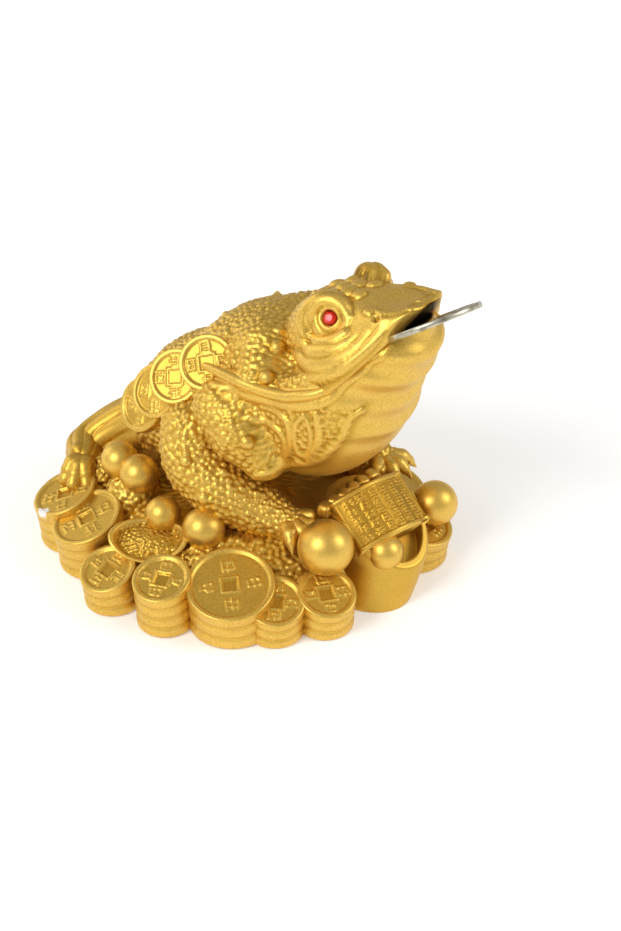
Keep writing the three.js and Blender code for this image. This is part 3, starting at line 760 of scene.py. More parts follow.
def egg(p, centre, radii, pitch=0):
    """Rough distance to an ellipsoid whose long radius is pitched up in the side view: k0 (k0 - 1) / k1.

    k0 is the length of the place over the radii, and k1 the length of the place over their squares.
    """
    c, s = math.cos(math.radians(pitch)), math.sin(math.radians(pitch))
    x, y, z = (p - centre).T
    a, b, d = (x * c + z * s) / radii[0], y / radii[1], (z * c - x * s) / radii[2]
    k0 = np.sqrt(a * a + b * b + d * d)
    k1 = np.sqrt((a / radii[0]) ** 2 + (b / radii[1]) ** 2 + (d / radii[2]) ** 2)
    return k0 * (k0 - 1) / np.maximum(k1, 1e-6)


def over(p, place, pitch):
    """Height over a plane that runs straight across the toad, through a place of the side view."""
    turn = math.radians(pitch)
    return (p[:, 2] - place[1]) * math.cos(turn) - (p[:, 0] - place[0]) * math.sin(turn)


def blend(a, b, fillet):
    """The nearer of two forms, with a fillet between them: the least distance less h squared over four."""
    h = np.maximum(fillet - np.abs(a - b), 0) / fillet
    return np.minimum(a, b) - h * h * fillet / 4


def cut_away(form, tool, fillet):
    """A form with a tool's form taken out of it, rounded along the edge."""
    return -blend(-form, tool, fillet)


def smooth_line(places, steps=6):
    """A Catmull-Rom curve: a cubic through the places, with the slope of the neighbours' chord at each."""
    p = np.array(places, float)
    p = np.vstack([2 * p[0] - p[1], p, 2 * p[-1] - p[-2]])
    t = np.linspace(0, 1, steps, endpoint=False)[:, None, None]
    a, b, c, d = p[:-3], p[1:-2], p[2:-1], p[3:]
    curve = b + 0.5 * ((c - a) * t + (2 * a - 5 * b + 4 * c - d) * t ** 2 + (3 * b - a - 3 * c + d) * t ** 3)
    return np.vstack([curve.transpose(1, 0, 2).reshape(-1, 3), p[-2]])


def from_line(p, line):
    """Distance of each point from a line of short stretches, and the share of the line before it, 0 to 1."""
    nearest, along = np.full(len(p), 1e9), np.zeros(len(p))
    for number, (start, end) in enumerate(zip(line[:-1], line[1:])):
        stretch = end - start
        share = np.clip((p - start) @ stretch / (stretch @ stretch), 0, 1)
        away = p - start - share[:, None] * stretch
        squared = np.einsum("ij,ij->i", away, away)
        closer = squared < nearest
        nearest = np.where(closer, squared, nearest)
        along = np.where(closer, (number + share) / (len(line) - 1), along)
    return np.sqrt(nearest), along


def tube(p, line, radii):
    """Distance to a round limb: the distance from its line less the radius there, between the given radii."""
    away, along = from_line(p, line)
    return away - np.interp(along, np.linspace(0, 1, len(radii)), radii)


def trunk_form(points):
    """Throat and jaw, back, the domes behind the head and the shoulders, all run into each other."""
    p = mirrored(points)
    throat = blend(egg(p, (16.8, 0, 30), (15.4, 11.8, 10), 62), egg(p, (24.4, 0, 40), (8.6, 7.6, 6.1), 40), 3)
    front = np.clip((p[:, 0] - 22) / 5, 0, 1) * np.clip((p[:, 2] - 22) / 6, 0, 1)
    crease = throat_crease_depth * np.cos(2 * math.pi * (p[:, 2] - p[:, 1] / 4) / throat_crease)
    form = cut_away(throat - front * crease, -over(p, lip_corner, jaw_pitch), 0.6)
    back = blend(egg(p, (5, 0, 26.5), (15, 12, 12), 36), egg(p, (-5.7, 0, 17.6), (14, 12.5, 12), 36), 3)
    form = blend(form, back, 3)
    for dome in nape_domes:
        form = blend(form, egg(p, dome, (2.8, 2.8, 2.8)), 3)
    return blend(form, tube(p, smooth_line(shoulder_line, 3), shoulder_radii), 1.5)


def on_form(form, line):
    """A line laid on a form: each place goes along the slope of the form by its distance, three times."""
    line = np.array(line, float)
    for _ in range(3):
        shifts = np.eye(3) * 0.05
        slope = np.stack([(form(line + shift) - form(line - shift)) / 0.1 for shift in shifts], -1)
        line = line - form(line)[:, None] * slope / np.maximum((slope ** 2).sum(-1, keepdims=True), 0.25)
    return line


def skin_of(form, core, reach, rows, turns):
    """The skin of a form: rays leave a core line all round, square to it, and fan out past both its ends.

    Each ray starts outside and goes in by most of the form's distance, again and again, till it meets it.
    rows are those of the first fan, of the core and of the last fan.
    """
    line = smooth_line(core, 12)
    lengths = np.concatenate([[0], np.cumsum(np.linalg.norm(np.diff(line, axis=0), axis=1))])
    places = np.linspace(0, lengths[-1], rows[1])
    origins = np.stack([np.interp(places, lengths, line[:, axis]) for axis in range(3)], -1)
    ahead = unit(np.gradient(origins, axis=0))
    first_fan = np.arange(1, rows[0]) / rows[0] * math.pi / 2 - math.pi / 2
    last_fan = np.arange(1, rows[2]) / rows[2] * math.pi / 2
    tilts = np.concatenate([first_fan, np.zeros(rows[1]), last_fan])
    copies = np.pad(np.arange(rows[1]), (rows[0] - 1, rows[2] - 1), mode="edge")
    origins, ahead = origins[copies], ahead[copies]
    aside = unit(np.cross(ahead, [0, 0, 1.0]))
    upward = np.cross(aside, ahead)
    across = upward[:, None] * np.cos(turns)[:, None] + aside[:, None] * np.sin(turns)[:, None]
    rays = across * np.cos(tilts)[:, None, None] + ahead[:, None] * np.sin(tilts)[:, None, None]
    rays, starts = rays.reshape(-1, 3), np.repeat(origins, len(turns), 0)
    out = np.full(len(rays), float(reach))
    for _ in range(26):
        out = np.clip(out - 0.85 * form(starts + rays * out[:, None]), 0.02, reach)
    return (starts + rays * out[:, None]).reshape(len(tilts), len(turns), 3)


def ridge(p, line, radii, height, fade=1e-6):
    """Height of a rounded band along a line: half an ellipse over the distance, as wide as the radii say.

    Over the last share of its length, the fade, it sinks away.
    """
    away, along = from_line(p, line)
    half = np.interp(along, np.linspace(0, 1, len(radii)), radii)
    fading = np.clip((1 - along) / fade, 0, 1)
    return height / max(radii) * fading * np.sqrt(np.maximum(half ** 2 - away ** 2, 0))


def near(p, centre, reach):
    """Bump of height 1 round a centre, falling smoothly to nothing at its reach."""
    away = np.linalg.norm(p - centre, axis=1) / reach
    return np.clip(1 - away ** 2, 0, 1) ** 2


# Side view of the throat's edge, as x over z: right of it the throat is smooth
throat_edge = [
    (11.8, 12.8, 20), (14.2, 10.7, 20.6), (18.3, 9.7, 23), (22.1, 9.4, 26.2), (23.9, 9, 29.3),
    (25, 8.4, 32.4), (26.3, 7.1, 34),
]
# Each band is a line, its half widths along the way and its height
scroll_bands = [
    ([(10.4, 12.2, 28.8), (13.7, 11.6, 28.5), (15.9, 11.5, 27.6), (15.8, 10.8, 24.8), (14.2, 11, 21.8),
      (11.9, 12.9, 20.4)], [0.5, 0.7, 0.65], 0.42),
    ([(12, 12, 30.6), (14.4, 11.4, 31.0), (16.7, 11.6, 30.4), (17.1, 11.4, 28.2), (16.4, 10.9, 25.1),
      (14.3, 10.5, 21.4)], [0.4, 0.65, 0.6], 0.4),
    ([(19.3, 11.3, 32.3), (18.2, 11.4, 30.5), (17.8, 11.4, 28.5), (17.8, 11, 26), (18.4, 10.5, 25),
      (19.7, 10.6, 26.6), (20.3, 11.1, 29.3), (19.9, 11.3, 31.9)], [0.35, 0.5, 0.35], 0.36),
    ([(21, 10.6, 33), (21.3, 10.7, 31), (21.3, 10.6, 29), (20.3, 10.3, 26.2), (17.7, 9.9, 23.1),
      (13.7, 11.7, 21)], [0.5, 0.65, 0.55], 0.42),
    (throat_edge, [0.55, 0.65, 0.55], 0.42),
]
ribbon_line = [
    (4.2, 11.4, 33), (7.6, 12.1, 33.6), (11.6, 11.4, 33.4), (16, 11.3, 33.9), (18.4, 11, 34.8),
    (21, 10.6, 36), (23.4, 9.8, 37.6),
]
ribbon_edge = [
    (3.6, 12.4, 31.9), (7.3, 11.7, 31.8), (10.3, 11.7, 31.8), (14.5, 11.3, 32.4), (18.3, 11.1, 33.5),
    (21.4, 10.5, 34.8),
]
jaw_band = [
    (18.3, 11.1, 33.3), (21.4, 10.5, 34.6), (22.9, 9.6, 35.9), (24.9, 8.4, 38.6), (27.5, 6.9, 41.6),
    (29, 4.6, 43.6),
]
# Each wart is its place and its radius
large_warts = [
    (3.1, 13.7, 22, 1.0), (4.2, 15.9, 19.2, 0.9), (4.5, 17, 15.3, 0.9), (11.3, 13.8, 25.8, 1.05),
    (7.4, 5.8, 37.9, 1.2), (9.4, 9.8, 34.2, 1.0), (12.2, 10.6, 35.2, 1.1), (10.9, 6.6, 37.7, 1.1),
    (5.6, 10.1, 34.9, 0.8), (0.5, 14.6, 18, 0.8),
]


def warts(p, places):
    """Height of single large warts: over each place, 0.75 times the height of a half ball of its radius."""
    rise = np.zeros(len(p))
    for x, y, z, radius in places:
        away = np.linalg.norm(p - (x, y, z), axis=1)
        rise = np.maximum(rise, 0.75 * np.sqrt(np.maximum(radius ** 2 - away ** 2, 0)))
    return rise


def trunk_height(points):
    """Carving on the trunk: bands and warts stand over the beads, which stop at the smooth throat."""
    p = mirrored(points)
    bands = np.zeros(len(p))
    flat_bands = [
        (ribbon_line, [1.1, 1.2, 1.1], 0.3), (ribbon_edge, [0.5, 0.9, 1], 0.4),
        (jaw_band, [0.8, 0.7, 0.5, 0.3], 0.4),
    ]
    for line, radii, height in scroll_bands + flat_bands:
        bands = np.maximum(bands, ridge(p, on_form(trunk_form, smooth_line(line)), radii, height))
    edge = np.array(throat_edge)
    smooth_from = np.interp(p[:, 2], edge[:, 2], edge[:, 0])
    smooth_from = np.where(p[:, 2] > 34, 18.5, smooth_from)
    beaded_share = step(smooth_from - p[:, 0], 0.3) * (1 - step(20.8 - p[:, 2], 0.4) * step(p[:, 0] - 5, 0.6))
    spacing = bead_spacing * (1 + 0.12 * np.clip((30 - p[:, 2]) / 10, 0, 1))
    skin = warty(points, (beaded_share > 0.3) & (bands < 0.12), spacing) - bead_sunk
    skin = np.maximum(skin, warts(p, large_warts) - 0.1) * beaded_share
    return np.where(bands > 0, np.maximum(skin, bands), skin)


# Columns stand closest over the flank that is turned to the viewer, and least so under the belly
def spaced_turns(left, right, below, under_angle=2.2):
    """Angles round a core: left from under_angle up to the top, right down from it, and the rest below."""
    return np.concatenate([
        np.linspace(-under_angle, 0, left, endpoint=False),
        np.linspace(0, under_angle, right, endpoint=False),
        np.linspace(under_angle, 2 * math.pi - under_angle, below, endpoint=False),
    ])


def carved_piece(name, form, height_of, core, reach, rows, turns, material, extra_shade=None):
    """A piece of the casting: the skin of a form, carved by a height function, with painted shade in its
    hollows and more painted shade where the last function says.
    """
    rings = skin_of(form, core, reach, rows, turns)
    points = rings.reshape(-1, 3)
    carved, hollow_shade = carve(rings, height_of(points).reshape(rings.shape[:2]))
    # More painted shade where the given function says, such as dark paint in the mouth
    if extra_shade is not None:
        hollow_shade = np.maximum(hollow_shade, extra_shade(points).reshape(hollow_shade.shape))
    return add_piece(name, [(carved, hollow_shade)], material)


def mouth_shade(points):
    """Painted shade in the mouth: dark paint on the planes of the jaw and the lips, well inside their edges.
    """
    p = mirrored(points)
    return step(0.25 - np.abs(over(p, lip_corner, jaw_pitch)), 0.1) * step(p[:, 0] - 22, 1) * 1.8


carved_piece(
    "toad_trunk", trunk_form, trunk_height, [(-6, 0, 19), (4, 0, 25.55), (13.5, 0, 31.78), (23, 0, 38)], 26,
    (66, 172, 50), spaced_turns(115, 180, 45), carved_gold, mouth_shade,
)

# Head
# Skull, flat-topped snout and upper lip, with a thick hood over each eye and rolled folds down the cheeks.
# The eyeballs have a ring round the socket of the gem.
gem_boxes = [np.array(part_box(name)) / MM for name in ("eye_gem_right", "eye_gem_left")]
gem_centre = gem_boxes[1].mean(0)
gem_look = unit(np.array([0.29, 0.76, 0.58]))
gem_radius = np.ptp(gem_boxes[1][:, 2]) / 2
eye_radius = 3.4
eye_centre = gem_centre - gem_look * (eye_radius - 0.2 * gem_radius)
snout_top, snout_pitch = (28.5, 48.2), 13
snout_wedge = 34.2
lip_roll = 0.5
hood_line = [
    (16.8, 7.2, 41.6), (15.8, 6.9, 43.3), (16, 5.9, 45.1), (17.2, 5.1, 46.4), (18.8, 4.6, 46.9),
    (20.3, 4.5, 46.5), (21.6, 4.8, 45.8), (22.9, 5, 45.6), (24, 4.8, 46),
]
hood_radii = [0.9, 1.2, 1.4, 1.5, 1.45, 1.3, 1.05, 0.8, 0.5]
lip_thinning = 0.9


def over_lip(p):
    """Distance above the plane of the lips, which rises a little more towards the tip of the snout."""
    return over(p, lip_corner, lip_pitch) - lip_thinning * np.clip((p[:, 0] - 28.5) / 4, 0, 1)


def wedge(p, ahead):
    """Distance in from the two upright planes that narrow the snout, which meet at that place ahead."""
    return (ahead - p[:, 0] - p[:, 1]) / math.sqrt(2)


def head_form(points):
    """Skull, snout and nape run together, with the roll of the lip, the eyeballs and the hoods.

    The snout narrows to the front, where its distance ahead and its distance aside add up to the wedge.
    """
    p = mirrored(points)
    snout = cut_away(egg(p, (26.9, 0, 43.2), (8.4, 6.8, 6.6), lip_pitch), wedge(p, snout_wedge), 1.6)
    snout = cut_away(snout, -over(p, snout_top, snout_pitch), 0.8)
    mass = blend(egg(p, (22.4, 0, 37), (11, 10, 10), lip_pitch), snout, 2)
    mass = blend(mass, egg(p, (15.8, 0, 40.3), (7.4, 7.2, 5), 36), 2)
    over_lips = over_lip(p)
    roll = lip_roll * np.exp(-(over_lips - 1) ** 2)
    form = blend(mass - roll, egg(p, eye_centre, (eye_radius, eye_radius, eye_radius)), 0.8)
    form = blend(form, tube(p, smooth_line(hood_line, 4), hood_radii), 0.5)
    return cut_away(form, over_lips, 0.4)


# Each fold and each edge is a line, its half widths along the way and its height
head_folds = [
    ([(17.4, 7.5, 42.3), (19.3, 7.8, 42.2), (21.5, 7.9, 43.2), (22.9, 7.1, 44.5), (23.6, 6.6, 45.4)],
     [0.5, 1, 1, 0.8, 0.6], 0.75),
    ([(15.9, 8.2, 41.2), (18.3, 8.3, 40.6), (21.3, 8.7, 41.8), (23.5, 8.1, 43.4), (24.8, 6.8, 45.2)],
     [0.6, 1.2, 1.2, 0.9, 0.6], 0.9),
    ([(14, 7.6, 38), (16, 8.4, 38.6), (18.5, 8.9, 39), (21.4, 9.2, 40.2), (23.9, 8.8, 42), (25.7, 7.5, 44.2),
      (26.4, 6.2, 46)], [0.6, 1.25, 1.35, 1.2, 0.9, 0.6], 1),
    ([(15.4, 9.5, 36), (17.7, 9.6, 36.9), (21.2, 9.8, 38.7), (24.3, 9.5, 40.9), (26.4, 8.2, 43.3),
      (27.8, 6.5, 45.8), (28.2, 5.3, 47.4)], [1.6, 1.3, 1.1, 1, 0.8, 0.6], 0.95),
]
hood_edges = [
    ([(17.4, 7.5, 43.2), (16.8, 7.4, 45), (17.4, 6.6, 46.6), (19.2, 6, 47.6), (21.2, 5.7, 47.3),
      (23, 5.7, 46.4)], [0.35, 0.5, 0.55, 0.5, 0.35], 0.3),
    ([(24.8, 3.4, 47.2), (26.4, 4.2, 47.6), (28.2, 4, 48), (29.8, 3.2, 48.5), (31, 2, 48.8), (31.4, 0, 48.9)],
     [0.3, 0.5, 0.5, 0.5, 0.5], 0.32),
    ([(29.3, 3.2, 48.4), (29.6, 2, 48.4), (29.7, 0, 48.4)], [0.35, 0.45, 0.45], 0.28),
]
# Each lump is its place and its radius
forehead_lumps = [
    (14.6, 1.6, 45.6, 1.2), (16.6, 2.4, 46.7, 1.3), (17, 0, 46.9, 1.2), (18.9, 1.2, 47.2, 1.35),
    (18.6, 2.9, 46.9, 0.9), (21.2, 1.6, 46.9, 1.2), (25, 4.2, 46.6, 0.9),
]
brow_notch = (22.4, 5.2, 46)
snout_dish = (26.2, 0, 47.6)
eye_rings = [(1.45, 0.36, 0.3), (2.6, 0.7, 0.3)]
nostril = (26.7, 5.2, 47.2)


def head_height(points):
    """Carving on the head: folds, hood edge, rings round the gem, forehead lumps and beads on the nape.

    The snout is dished on top, and the left hood, the far one in the photograph, drops steeply to it.

    Everything sinks away at the edge where the head is cut off along the lips.
    """
    p = mirrored(points)
    bands = np.zeros(len(p))
    for line, radii, height in head_folds:
        bands = np.maximum(bands, ridge(p, on_form(head_form, smooth_line(line)), radii, height, 0.2))
    for line, radii, height in hood_edges:
        bands = np.maximum(bands, ridge(p, on_form(head_form, smooth_line(line)), radii, height))
    for x, y, z, radius in forehead_lumps:
        middle = on_form(head_form, [(x, y, z)])[0]
        away = np.linalg.norm(p - middle, axis=1)
        bands = np.maximum(bands, 0.5 * np.sqrt(np.maximum(radius ** 2 - away ** 2, 0)))
    from_gem = np.linalg.norm(p - gem_centre, axis=1)
    for ring_radius, half, height in eye_rings:
        ring = height / half * np.sqrt(np.maximum(half ** 2 - (from_gem - ring_radius) ** 2, 0))
        bands = np.maximum(bands, ring)
    bands = bands - 0.35 * step(1 - from_gem, 0.08)
    bands = bands - 0.7 * near(p, on_form(head_form, [nostril])[0], 0.75)
    notch_place = on_form(head_form, [brow_notch])[0]
    bands = bands - 1.2 * near(points, notch_place, 2.2) - 0.4 * near(p, snout_dish, 3)
    inside = step(over_lip(p) - 0.7, 0.5)
    beaded_share = step(15.1 - p[:, 0] - 0.35 * np.maximum(p[:, 2] - 45, 0), 0.3)
    skin = warty(points, (beaded_share > 0.3) & (bands < 0.12) & (inside > 0.3), bead_spacing) - bead_sunk
    skin = np.maximum(skin, warts(p, large_warts) - 0.1)
    return (bands + beaded_share * (np.maximum(skin, bands) - bands)) * inside


def lip_shade(points):
    """Painted shade on the roof of the mouth, inside the lips."""
    p = mirrored(points)
    inside = cut_away(egg(p, (26.9, 0, 43.2), (7.6, 6, 5.8), lip_pitch), wedge(p, snout_wedge - 1.2), 1)
    return 1.8 * step(0.3 - np.abs(over_lip(p)), 0.1) * step(-inside, 0.3)


head_turns = np.linspace(0, 2 * math.pi, 290, endpoint=False)
carved_piece(
    "toad_head", head_form, head_height, [(14, 0, 41), (17.8, 0, 42.67), (21.7, 0, 44.33), (25.5, 0, 46)], 20,
    (58, 84, 62), head_turns, carved_gold, lip_shade,
)

# Forelegs
# Stout beaded arms that stand on the heap, each with a hand of four smooth toes that end in pointed claws.
arm_line = [(-1, 11.5, 21.5), (0.5, 12.5, 18), (5, 12.2, 14.6), (10.4, 10.3, 12)]
arm_radii = [4.6, 5, 4.9, 3.8, 2.6]
hands = {"right": (14.6, 9.4, 11), "left": (16.2, 10.1, 12.4)}
toe_spread = [-60, -20, 8, 42]
toe_length = 5


def one_side(line, side):
    """A line of the right side put on a side: -1 for the toad's right and 1 for its left."""
    return [(x, side * y, z) for x, y, z in line]


def limb(line, radii, rows, columns, ripple=0.0, ripples=0):
    """A limb as rings: round sections carried along a smooth line, with round ends and ripples across it.

    Past each end the radius falls as the root of one less the square of the way gone, as on a ball.
    """
    line = smooth_line(line, 8)
    lengths = np.concatenate([[0], np.cumsum(np.linalg.norm(np.diff(line, axis=0), axis=1))])
    span = lengths[-1]
    first, last = radii[0], radii[-1]
    ball_way = -np.cos(np.linspace(0, math.pi / 2, 8)[1:-1])
    places = np.concatenate([first * ball_way, np.linspace(0, span, rows), span - last * ball_way[::-1]])
    inside = np.clip(places, 0, span)
    middle = np.stack([np.interp(inside, lengths, line[:, axis]) for axis in range(3)], -1)
    ends = unit(np.stack([line[1] - line[0], line[-1] - line[-2]]))
    middle += np.minimum(places, 0)[:, None] * ends[0] + np.maximum(places - span, 0)[:, None] * ends[1]
    ahead = unit(np.gradient(middle, axis=0))
    aside = unit(np.cross(ahead, [0, 0, 1.0]))
    upward = np.cross(aside, ahead)
    radius = np.interp(inside / span, np.linspace(0, 1, len(radii)), radii)
    past = np.maximum(-places / first, (places - span) / last)
    radius = radius * np.sqrt(np.clip(1 - np.maximum(past, 0) ** 2, 0.01, 1))
    radius = radius * (1 + ripple * np.cos(inside / span * ripples * 2 * math.pi))
    turn = np.linspace(0, 2 * math.pi, columns, endpoint=False)
    across = upward[:, None] * np.cos(turn)[:, None] + aside[:, None] * np.sin(turn)[:, None]
    return middle[:, None] + radius[:, None, None] * across


arm_warts = [(5.6, 16.9, 15.4, 0.9), (2.2, 16.6, 20.2, 0.9), (9.3, 14, 13.4, 0.8), (6.8, 13.8, 18.8, 0.7)]


def arm_height(points):
    """Beads all over the arm, with some large warts."""
    p = mirrored(points)
    every = np.ones(len(points), bool)
    return np.maximum(warty(points, every, 1.05 * bead_spacing, 3) - bead_sunk, warts(p, arm_warts) - 0.1)


for side, side_name in ((-1, "right"), (1, "left")):
    hand = np.array(hands[side_name])
    whole_arm = one_side(arm_line + [tuple(hand)], side)

    def arm_form(points, line=smooth_line(whole_arm, 3)):
        """The arm and the hand, as one round limb."""
        return tube(points, line, arm_radii)

    wrist = tuple(0.3 * np.array(arm_line[-1]) + 0.7 * hand)
    carved_piece(
        f"foreleg_{side_name}", arm_form, arm_height, one_side(arm_line + [wrist], side), 9,
        (28, 126, 28), np.linspace(0, 2 * math.pi, 176, endpoint=False), carved_gold,
    )
    toe_skins = []
    for spread in toe_spread:
        ahead = math.cos(math.radians(spread)) * toe_length
        aside = math.sin(math.radians(spread)) * toe_length
        places = [
            hand + [-0.7, 0, 0], hand + [0.4 * ahead, 0.4 * aside, 0.4],
            hand + [0.68 * ahead, 0.68 * aside, 0.3], hand + [0.86 * ahead, 0.86 * aside, -0.3],
            hand + [1.08 * ahead, 1.08 * aside, -1.5],
        ]
        toe = limb(one_side(places, side), [1.5, 1.5, 1.35, 0.85, 0.12], 40, 28, 0.05, 5)
        toe_skins.append((toe, np.zeros(toe.shape[:2])))
    add_piece(f"toes_{side_name}", toe_skins, carved_gold)

# Hind leg
# The only hind leg comes round the right of the rump. It is smooth, with folds along it, and three toes
# of its foot lie over the coins.
hind_line = [(-11, -3, 14.8), (-18.6, -6.6, 12), (-22.3, -11.2, 9.8), (-20.4, -14.6, 10)]
hind_radii = [5.8, 4.7, 3.4, 2.4]
hind_foot = np.array([-19.8, -15.2, 9.4])
hind_toes = [(-19.8, -19.2), (-18, -19.4), (-16.4, -18.2)]
hind_folds = 9
hind_fold_height = 0.5
hind_wart = (-21, -15.4, 12)


def folded_leg():
    """The leg as a limb with rounded folds along it: each is the root of a cosine's size across the leg.

    They wind a little on the way down and sink away at both ends. A round wart sits at the ankle.
    """
    rings = limb(smooth_line(hind_line, 6), hind_radii, 110, 126)
    along = np.linspace(0, 1, len(rings))[:, None]
    turn = np.linspace(0, 2 * math.pi, rings.shape[1], endpoint=False)
    folds = np.sqrt(np.abs(np.cos(hind_folds / 2 * turn + 1.5 * along))) * np.sin(math.pi * along) ** 0.6
    away = np.linalg.norm(rings - hind_wart, axis=2)
    wart = 1.5 * np.sqrt(np.maximum(0.8 ** 2 - (away - away.min()) ** 2, 0))
    carved, hollow_shade = carve(rings, np.maximum(hind_fold_height * folds, 0.4 * wart), 2)
    # Painted shade: the whole leg darker, and its folds darker still
    return carved, np.clip(0.3 + hollow_shade, 0, 1)


add_piece("hind_leg", [folded_leg()], carved_gold)
hind_skins = []
for x, y in hind_toes:
    knuckle = ((x + hind_foot[0]) / 2, (y + hind_foot[1]) / 2, 10.5)
    toe = limb([hind_foot, knuckle, (x, y, 8.9)], [1.9, 1.6, 1.1], 40, 28, 0.03, 4)
    # Painted shade: the toes a little darker all over
    hind_skins.append((toe, np.full(toe.shape[:2], 0.25)))
add_piece("hind_toes", hind_skins, carved_gold)

# Strings of coins
# On each flank four coins are strung down the rump, every one lying on the next, all cast with the body. The
# ribbon that holds them ends over the first. On the left the first coin is sunk deeper into the back.
strung_diameter = 8.2
strung_thickness = 1.6
string_places = [(1.1, 10.2, 32.9), (-5.4, 9.7, 27.8), (-8.1, 10.9, 24.9), (-10.1, 11.8, 22.2)]


def loose_coin(diameter, thickness, columns, salt, both=False, hole_depth=0.0):
    """A coin as rings about the Z axis: its face from the middle out, its rounded edge, and its back."""
    radius = diameter / 2
    face = np.linspace(0.08, radius - 0.2, int(radius / 0.16))
    edge = np.linspace(0, math.pi, 9)[1:-1]
    back_radii = face[::-1] if both else [radius - 0.3, 0.3]
    radii = np.concatenate([face, radius - 0.2 + 0.2 * np.sin(edge), back_radii])
    level = np.concatenate([np.ones(len(face)), np.cos(edge), -np.ones(len(back_radii))]) * thickness / 2
    turn = np.linspace(0, 2 * math.pi, columns, endpoint=False)
    x, y = radii[:, None] * np.cos(turn), radii[:, None] * np.sin(turn)
    lift = np.zeros(x.shape)
    lift[:len(face)] = coin_face(x[:len(face)], y[:len(face)], radius, salt, 0.3, hole_depth)
    if both:
        lift[-len(face):] = -lift[:len(face)][::-1]
    # Painted shade: darker over the sunk field and darkest in the hole, lighter on the raised marks
    hollow_shade = np.clip(0.25 * (radii[:, None] < radius - coin_rim) - 1.2 * (lift + coin_recess), 0, 1)
    hollow_shade[:len(face)] += np.clip(-(lift[:len(face)] + coin_recess), 0, 0.6)
    return np.stack([x, y, level[:, None] + lift], -1), hollow_shade


left_coin_sunk = 1.4
string_skins = []
for side in (-1, 1):
    for number, place in enumerate(string_places):
        facing = unit(np.array([0.3 - 0.14 * number, side * (0.7 + 0.05 * number), 0.65 - 0.05 * number]))
        along = unit(np.cross([0, 0, 1.0], facing))
        basis = np.stack([along, np.cross(facing, along), facing])
        coin, hollow_shade = loose_coin(strung_diameter, strung_thickness, 104, 60 + number)
        sunk = left_coin_sunk if side > 0 and number == 0 else 0
        string_skins.append((coin @ basis + np.array(place) * [1, side, 1] - sunk * facing, hollow_shade))
ribbon_on_body = on_form(trunk_form, ribbon_line[1:]) + [0, 0.1, 0.1]
ribbon_path = np.vstack([[(1.7, 11.3, 33.2), (3, 11.5, 33.4)], ribbon_on_body])
for side in (-1, 1):
    ribbon = limb(ribbon_path * [1, side, 1], [0.55, 0.75, 0.85, 0.9, 0.9, 0.8, 0.5], 120, 32)
    string_skins.append((ribbon, np.zeros(ribbon.shape[:2])))
add_piece("coin_strings", string_skins, carved_gold)

# Eyes
# Faceted gems of red glass, glued into round sockets in the eyeballs.
gem_glass = bpy.data.materials.new("red_glass")
gem_glass.use_nodes = True
gem_shader = gem_glass.node_tree.nodes["Principled BSDF"]
gem_shader.inputs["Roughness"].default_value = 0.12
gem_shader.inputs["Coat Weight"].default_value = 0.15
gem_shader.inputs["Coat Roughness"].default_value = 0.03
gem_nodes, gem_links = gem_glass.node_tree.nodes, gem_glass.node_tree.links
gem_noise = add_node(gem_nodes, "TexNoise", Scale=1500)
gem_tone = colour_ramp(gem_nodes, [(0.35, (0.62, 0.004, 0.01)), (0.65, (0.92, 0.03, 0.03))])
gem_links.new(gem_nodes.new("ShaderNodeTexCoord").outputs["Object"], gem_noise.inputs["Vector"])
gem_links.new(gem_noise.outputs["Fac"], gem_tone.inputs["Fac"])
gem_links.new(gem_tone.outputs["Color"], gem_shader.inputs["Base Color"])


def cut_gem(radius, sides=8):
    """A cut stone about the Z axis: flat table, two rows of crown facets, girdle and a pointed back."""
    turn = np.linspace(0, 2 * math.pi, sides, endpoint=False)
    half_step = math.pi / sides
    rows = [
        (0.2, 0.72, 0), (0.5, 0.72, 0), (0.82, 0.46, half_step), (0.98, 0.1, 0), (0.98, -0.05, 0),
        (0.5, -0.6, half_step), (0.1, -0.9, 0),
    ]
    return radius * np.array([
        np.stack([out * np.cos(turn + shift), out * np.sin(turn + shift), np.full(sides, level)], -1)
        for out, level, shift in rows
    ])


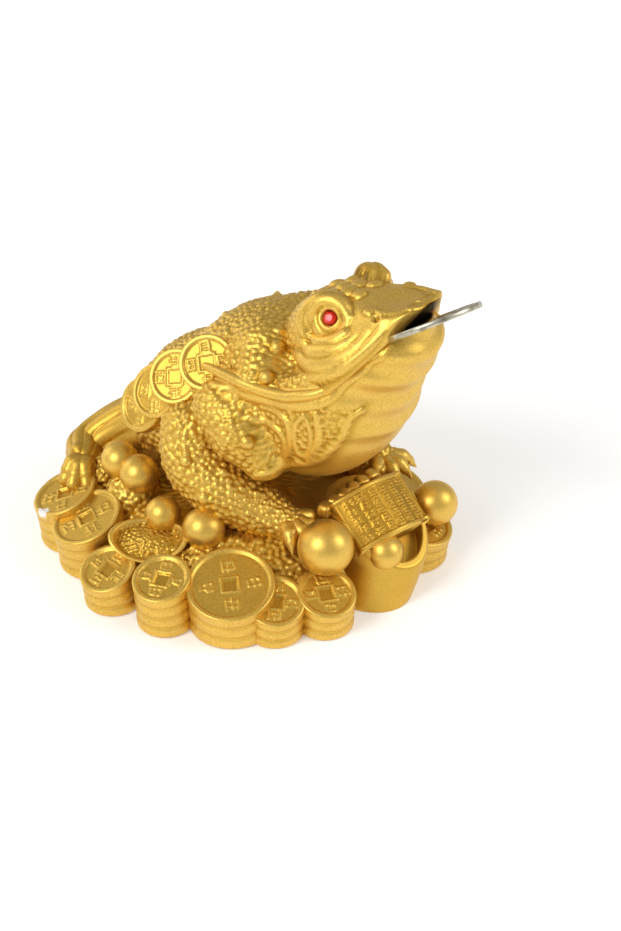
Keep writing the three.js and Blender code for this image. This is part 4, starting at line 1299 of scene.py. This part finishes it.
for side, node in ((-1, "eye_gem_right"), (1, "eye_gem_left")):
    facing = gem_look * [1, side, 1]
    along = unit(np.cross([0, 0, 1.0], facing))
    basis = np.stack([along, np.cross(facing, along), facing])
    gem = cut_gem(0.88 * gem_radius) @ basis + gem_centre * [1, side, 1]
    add_piece(f"{node}_cut", [(gem, np.zeros(gem.shape[:2]))], gem_glass, "gem", node, smooth=False)

# Coin in the mouth
# A loose struck coin of pale brass. It lies on the lower lip with its back edge in a slot of the mouth.
mouth_box = np.array(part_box("mouth_coin")) / MM
mouth_coin_diameter, mouth_coin_thickness = 13.4, 0.9
mouth_coin_pitch, mouth_coin_roll = math.radians(36), math.radians(-8)
pale_brass = bpy.data.materials.new("pale_brass")
pale_brass.use_nodes = True
brass_nodes, brass_links = pale_brass.node_tree.nodes, pale_brass.node_tree.links
brass_shader = brass_nodes["Principled BSDF"]
brass_shader.inputs["Metallic"].default_value = 1
brass_place = brass_nodes.new("ShaderNodeTexCoord")
brass_cloud = add_node(brass_nodes, "TexNoise", Scale=600, Detail=5)
brass_tone = colour_ramp(brass_nodes, [(0.35, (0.30, 0.27, 0.20)), (0.62, (0.62, 0.58, 0.46))])
brass_satin = add_node(brass_nodes, "MapRange", To_Min=0.45, To_Max=0.22)
brass_links.new(brass_place.outputs["Object"], brass_cloud.inputs["Vector"])
brass_links.new(brass_cloud.outputs["Fac"], brass_tone.inputs["Fac"])
brass_links.new(brass_cloud.outputs["Fac"], brass_satin.inputs["Value"])
brass_links.new(brass_tone.outputs["Color"], brass_shader.inputs["Base Color"])
brass_links.new(brass_satin.outputs["Result"], brass_shader.inputs["Roughness"])

mouth_coin, mouth_coin_shade = loose_coin(mouth_coin_diameter, mouth_coin_thickness - 0.1, 132, 90, both=True)
mouth_coin[..., 2] = np.clip(mouth_coin[..., 2], -mouth_coin_thickness / 2, mouth_coin_thickness / 2)
mouth_turn = Matrix.Rotation(-mouth_coin_pitch, 3, "Y") @ Matrix.Rotation(mouth_coin_roll, 3, "X")
mouth_coin = mouth_coin @ np.array(mouth_turn).T + mouth_box.mean(0)
add_piece("mouth_coin_struck", [(mouth_coin, mouth_coin_shade)], pale_brass, "coin_metal", "mouth_coin")
